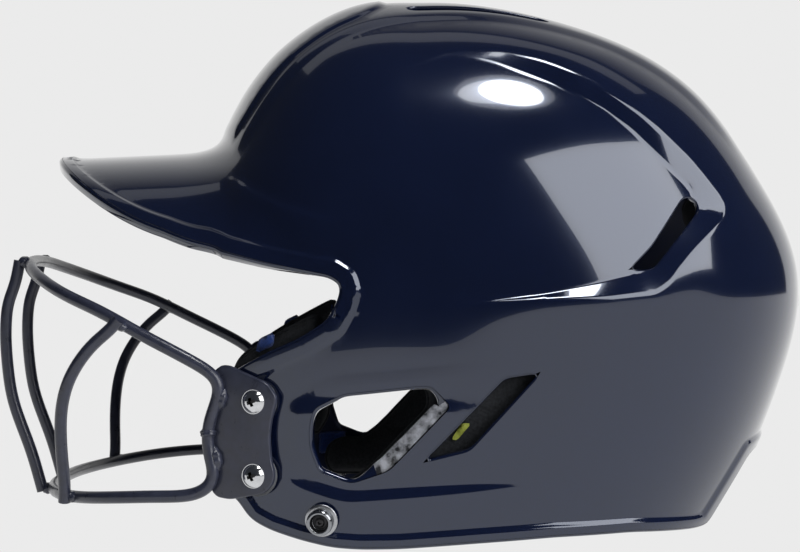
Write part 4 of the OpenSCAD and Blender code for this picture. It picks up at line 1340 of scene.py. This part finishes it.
def plump(obj, free):
    """Swells the cushion's face with Blender's cloth, while its seams, edge and wall side are held."""
    before = np.array([v.co for v in obj.data.vertices])
    held = obj.vertex_groups.new(name="held")
    held.add(sorted(set(range(len(before))) - set(free)), 1.0, "REPLACE")
    only(obj)
    cloth = obj.modifiers.new("Cloth", "CLOTH")
    for key, value in CLOTH.items():
        setattr(cloth.settings, key, value)
    cloth.settings.effector_weights.gravity = 0
    cloth.collision_settings.use_self_collision = False
    for frame_number in range(1, CLOTH_FRAMES + 1):
        bpy.context.scene.frame_set(frame_number)
    bpy.ops.object.modifier_apply(modifier=cloth.name)
    bpy.context.scene.frame_set(1)
    move = np.array([v.co for v in obj.data.vertices]) - before
    size = np.linalg.norm(move, axis=1)
    after = before + move * np.minimum(1, CLOTH_CAP * MM / np.maximum(size, 1e-9))[:, None]
    obj.data.vertices.foreach_set("co", after.ravel())
    obj.data.update()
    obj.vertex_groups.clear()


def circle(middle, radius):
    a = np.arange(28) * 2 * math.pi / 28
    return np.stack([middle[0] + radius * np.cos(a), middle[1] + radius * np.sin(a)], 1)


def pad_list():
    """CAD node, outline, axis, sign, seams and holes of each cushion."""
    pads = [
        ("forehead_pad", round_block((234, 306), (12, 44), 1), 1, -1,
         [[(-21, 110), (-17, 175)], [(21, 110), (17, 175)]], []),
        ("rear_pad", round_block((64, 116), (-10, 16), 1), 1, 1,
         [[(-20, 60), (-20, 150)], [(20, 60), (20, 150)]], []),
        ("crown_pad", circle((0, 4), 38.5), 2, 1, [[(-50, 4), (50, 4)], [(0, -50), (0, 58)]], []),
    ]
    for side, word in SIDES:
        nape = (47, 66) if side > 0 else (114, 133)
        pads += [
            (f"temple_pad_{word}", round_block((-24, 36), (6, 42), 0), 0, side, [[(-60, 136), (90, 140)]], []),
            (f"ear_pad_{word}", rounded(EAR_PAD, 4), 0, side,
             [[(16, 47.5), (100, 49)], [(-6, 28), (100, 27)], [(-40, 70), (100, 71)]], []),
            (f"cheek_pad_{word}", rounded(CHEEK, 4), 0, side,
             [[(-70, 57), (-64, 65.5), (-56, 70), (-47, 75.5), (-36, 81)]],
             [circle((PLATE_Y, PLATE_Z + SCREW_HALF_GAP), 7.4)]),
            (f"nape_pad_{word}", round_block(nape, (-36, -18), 1), 1, 1, [], []),
        ]
    return pads


def patch_list():
    """Name, outline, axis and sign of each hook-and-loop patch, tab and label. A patch's name is its CAD node's."""
    made = [
        ("patch_forehead", round_block((258, 282), (20, 34), 1), 1, -1),
        ("patch_rear", round_block((80, 100), (-3, 9), 1), 1, 1),
        ("patch_crown", circle((0, 4), 15.5), 2, 1),
    ]
    for side, word in SIDES:
        nape = (52, 61) if side > 0 else (119, 128)
        made += [
            (f"patch_temple_{word}", round_block((0, 14), (16, 32), 0), 0, side),
            (f"patch_ear_{word}", round_block((30, 38), (-22, -10), 0), 0, side),
            (f"patch_nape_{word}", round_block(nape, (-31, -23), 1), 1, 1),
            (f"tab_cheek_{word}", rounded([(-58, 73), (-57, 78.5), (-50.5, 81.5), (-50.5, 76)], 1.5), 0, side),
            (f"label_ear_{word}", rounded([(17.8, 41), (21.8, 47.2), (25.4, 47), (20, 40.6)], 0.5), 0, side),
            (f"tab_stud_{word}", rounded([(-41, 16.5), (-41, 27), (-28.3, 27), (-28.3, 20.5), (-33, 18)], 1.5),
             0, side),
        ]
    return made


class HelmetSizes(bpy.types.PropertyGroup):
    """Sizes that a user may change."""
    wire: bpy.props.FloatProperty(
        name="Guard wire", description="Diameter of the guard's wire", default=4.8 * MM, min=0.003, max=0.007,
        subtype="DISTANCE", unit="LENGTH", precision=4)
    screw: bpy.props.FloatProperty(
        name="Screw head", description="Diameter of the plate screws' heads", default=9.2 * MM, min=0.006, max=0.012,
        subtype="DISTANCE", unit="LENGTH", precision=4)
    stud_base: bpy.props.FloatProperty(
        name="Stud base", description="Diameter of the snap stud's base ring", default=12.5 * MM, min=0.009,
        max=0.016, subtype="DISTANCE", unit="LENGTH", precision=4)
    stud_head: bpy.props.FloatProperty(
        name="Stud head", description="Diameter of the snap stud's head", default=10.0 * MM, min=0.007, max=0.013,
        subtype="DISTANCE", unit="LENGTH", precision=4)
    pad: bpy.props.FloatProperty(
        name="Pad thickness", description="Thickness of the foam pads", default=12.0 * MM, min=0.006, max=0.02,
        subtype="DISTANCE", unit="LENGTH", precision=4)
    tape: bpy.props.FloatProperty(
        name="Patch thickness", description="Thickness of the hook-and-loop patches", default=1.6 * MM, min=0.0008,
        max=0.003, subtype="DISTANCE", unit="LENGTH", precision=4)


class HelmetColours(bpy.types.PropertyGroup):
    """Colours that a user may change."""
    shell: bpy.props.FloatVectorProperty(
        name="Shell", description="Colour of the gloss shell", default=(0.0040, 0.0082, 0.0320), min=0, max=1,
        size=3, subtype="COLOR")
    guard: bpy.props.FloatVectorProperty(
        name="Guard", description="Colour of the guard's coating", default=(0.038, 0.043, 0.072), min=0, max=1,
        size=3, subtype="COLOR")
    pads: bpy.props.FloatVectorProperty(
        name="Pads", description="Colour of the pads' cloth", default=(0.028, 0.030, 0.034), min=0, max=1,
        size=3, subtype="COLOR")
    tape: bpy.props.FloatVectorProperty(
        name="Patches", description="Colour of the hook-and-loop patches", default=(0.018, 0.058, 0.26), min=0, max=1,
        size=3, subtype="COLOR")
    label: bpy.props.FloatVectorProperty(
        name="Labels", description="Colour of the blank labels on the ear pads", default=(0.34, 0.38, 0.06), min=0,
        max=1, size=3, subtype="COLOR")
    spacer: bpy.props.FloatVectorProperty(
        name="Spacers", description="Colour of the rubber spacers", default=(0.12, 0.125, 0.135), min=0, max=1,
        size=3, subtype="COLOR")


class HELMET_OT_finishes(bpy.types.Operator):
    """Makes the finishes that the pieces share"""
    bl_idname = "helmet.finishes"
    bl_label = "Finishes"

    def execute(self, context):
        FINISHES.update(make_materials(context.scene.helmet_colours))
        return {"FINISHED"}


class HELMET_OT_shell(bpy.types.Operator):
    """Builds the moulded shell with its visor, ear holes, vents, raised rim and recessed panels"""
    bl_idname = "helmet.shell"
    bl_label = "Shell"

    def execute(self, context):
        shell = build_shell(FINISHES["shell"], FINISHES["inside"], FINISHES["cut"],
                            SHELL_STEP)
        settle(shell, "shell", "shell")
        return {"FINISHED"}


class HELMET_OT_guard(bpy.types.Operator):
    """Builds the guard's frame wire, its four bars, the weld beads and the two mounting plates"""
    bl_idname = "helmet.guard"
    bl_label = "Face guard"

    def execute(self, context):
        coat = FINISHES["guard"]
        wire = context.scene.helmet_sizes.wire / MM
        loop = np.vstack([FRAME_HALF, FRAME_HALF[-2:0:-1] * (-1, 1, 1)])
        frame_wire = wire_piece("Guard_Frame", flowing(loop, True), wire, coat, True)
        settle(frame_wire, "guard_wire", "guard_frame")
        for kind, path in (("centre", centre_bar_path(wire)), ("side", side_bar_path(wire))):
            for side, word in SIDES:
                bar = wire_piece(f"{kind.title()}_Bar_{word.title()}", flowing(path, False), wire, coat)
                placed(bar, mirror_of(side))
                settle(bar, "guard_wire", f"{kind}_bar_{word}")
        settle(weld_beads(coat), "guard_wire")
        for side, word in SIDES:
            plate = mounting_plate(f"Guard_Plate_{word.title()}", side, coat)
            settle(plate, "guard_wire", f"guard_plate_{word}")
        return {"FINISHED"}


class HELMET_OT_fasteners(bpy.types.Operator):
    """Builds the plate screws, rubber spacers and snap studs, and gives the CAD's nuts a steel finish"""
    bl_idname = "helmet.fasteners"
    bl_label = "Screws and studs"

    def execute(self, context):
        s = context.scene.helmet_sizes
        head = s.screw / MM
        for side, word in SIDES:
            for level, up in (("upper", SCREW_HALF_GAP), ("lower", -SCREW_HALF_GAP)):
                place = plate_frame(side) @ Matrix.Translation((0, 0, up * MM))
                tag = f"{level}_{word}"
                screw = plate_screw(f"Screw_{tag}", head, FINISHES["chrome"], FINISHES["dark_steel"])
                placed(screw, place @ Matrix.Translation(((PLATE_STANDOFF + PLATE_THICK) * MM, 0, 0)))
                settle(screw, "screw", f"screw_{tag}")
                spacer = spacer_disc(f"Spacer_{tag}", head, FINISHES["rubber"])
                placed(spacer, place)
                settle(spacer, "spacer", f"spacer_{tag}")
        for side, word in SIDES:
            ring, cap, inner = stud_parts(side, s.stud_base / MM, s.stud_head / MM)
            for part, node in ((ring, "stud_washer"), (cap, "stud_head"), (inner, None)):
                part.name = f"{part.name.split('.')[0]}_{word.title()}"
                settle(part, node or "stud_head", *([f"{node}_{word}"] if node else []))
        for name, obj in NODES.items():
            if name.startswith(("nut", "stud_nut")):
                finished(obj, FINISHES["steel"])
        return {"FINISHED"}


class HELMET_OT_padding(bpy.types.Operator):
    """Builds the foam cushions and the hook-and-loop patches behind them"""
    bl_idname = "helmet.padding"
    bl_label = "Padding"

    def execute(self, context):
        s = context.scene.helmet_sizes
        spacing = PAD_STEP
        for node, outline, axis, sign, seams, holes in pad_list():
            pad, free = cushion(node.title(), outline, FINISHES["fabric"], axis, sign, PAD_DEPTH, s.pad / MM,
                                spacing, seams, holes)
            plump(pad, free)
            settle(pad, "pad", node)
        for name, outline, axis, sign in patch_list():
            finish = FINISHES["label" if name.startswith("label") else "tape"]
            nodes = [name] if name.startswith("patch") else []
            patch, _ = cushion(name.title(), outline, finish, axis, sign, PATCH_DEPTH, s.tape / MM, PATCH_STEP,
                               piped=False)
            settle(patch, "patch", *nodes)
        return {"FINISHED"}


class HELMET_OT_stage(bpy.types.Operator):
    """Sets up the camera, the pale floor and backdrop, and the studio lamps"""
    bl_idname = "helmet.stage"
    bl_label = "Stage"

    def execute(self, context):
        build_stage()
        return {"FINISHED"}


class HELMET_PT_panel(bpy.types.Panel):
    """Lists the helmet's settings and the steps that build it"""
    bl_idname = "HELMET_PT_panel"
    bl_label = "Batting Helmet"
    bl_space_type = "VIEW_3D"
    bl_region_type = "UI"
    bl_category = "Helmet"

    def draw(self, context):
        layout = self.layout
        for group, names in (
            (context.scene.helmet_sizes, ("wire", "screw", "stud_base", "stud_head", "pad", "tape")),
            (context.scene.helmet_colours, ("shell", "guard", "pads", "tape", "label", "spacer")),
        ):
            column = layout.column(align=True)
            for name in names:
                column.prop(group, name)
        for step in STEPS:
            layout.operator(step)


STEPS = ("helmet.finishes", "helmet.shell", "helmet.guard", "helmet.fasteners", "helmet.padding", "helmet.stage")
CLASSES = (
    HelmetSizes, HelmetColours, HELMET_OT_finishes, HELMET_OT_shell, HELMET_OT_guard, HELMET_OT_fasteners,
    HELMET_OT_padding, HELMET_OT_stage, HELMET_PT_panel,
)


def register():
    for item in CLASSES:
        bpy.utils.register_class(item)
    bpy.types.Scene.helmet_sizes = bpy.props.PointerProperty(type=HelmetSizes)
    bpy.types.Scene.helmet_colours = bpy.props.PointerProperty(type=HelmetColours)


def unregister():
    del bpy.types.Scene.helmet_colours
    del bpy.types.Scene.helmet_sizes
    for item in reversed(CLASSES):
        bpy.utils.unregister_class(item)


def main():
    register()
    bpy.ops.helmet.finishes()
    bpy.ops.helmet.shell()
    bpy.ops.helmet.guard()
    bpy.ops.helmet.fasteners()
    bpy.ops.helmet.padding()
    bpy.ops.helmet.stage()


if __name__ == "__main__":
    main()
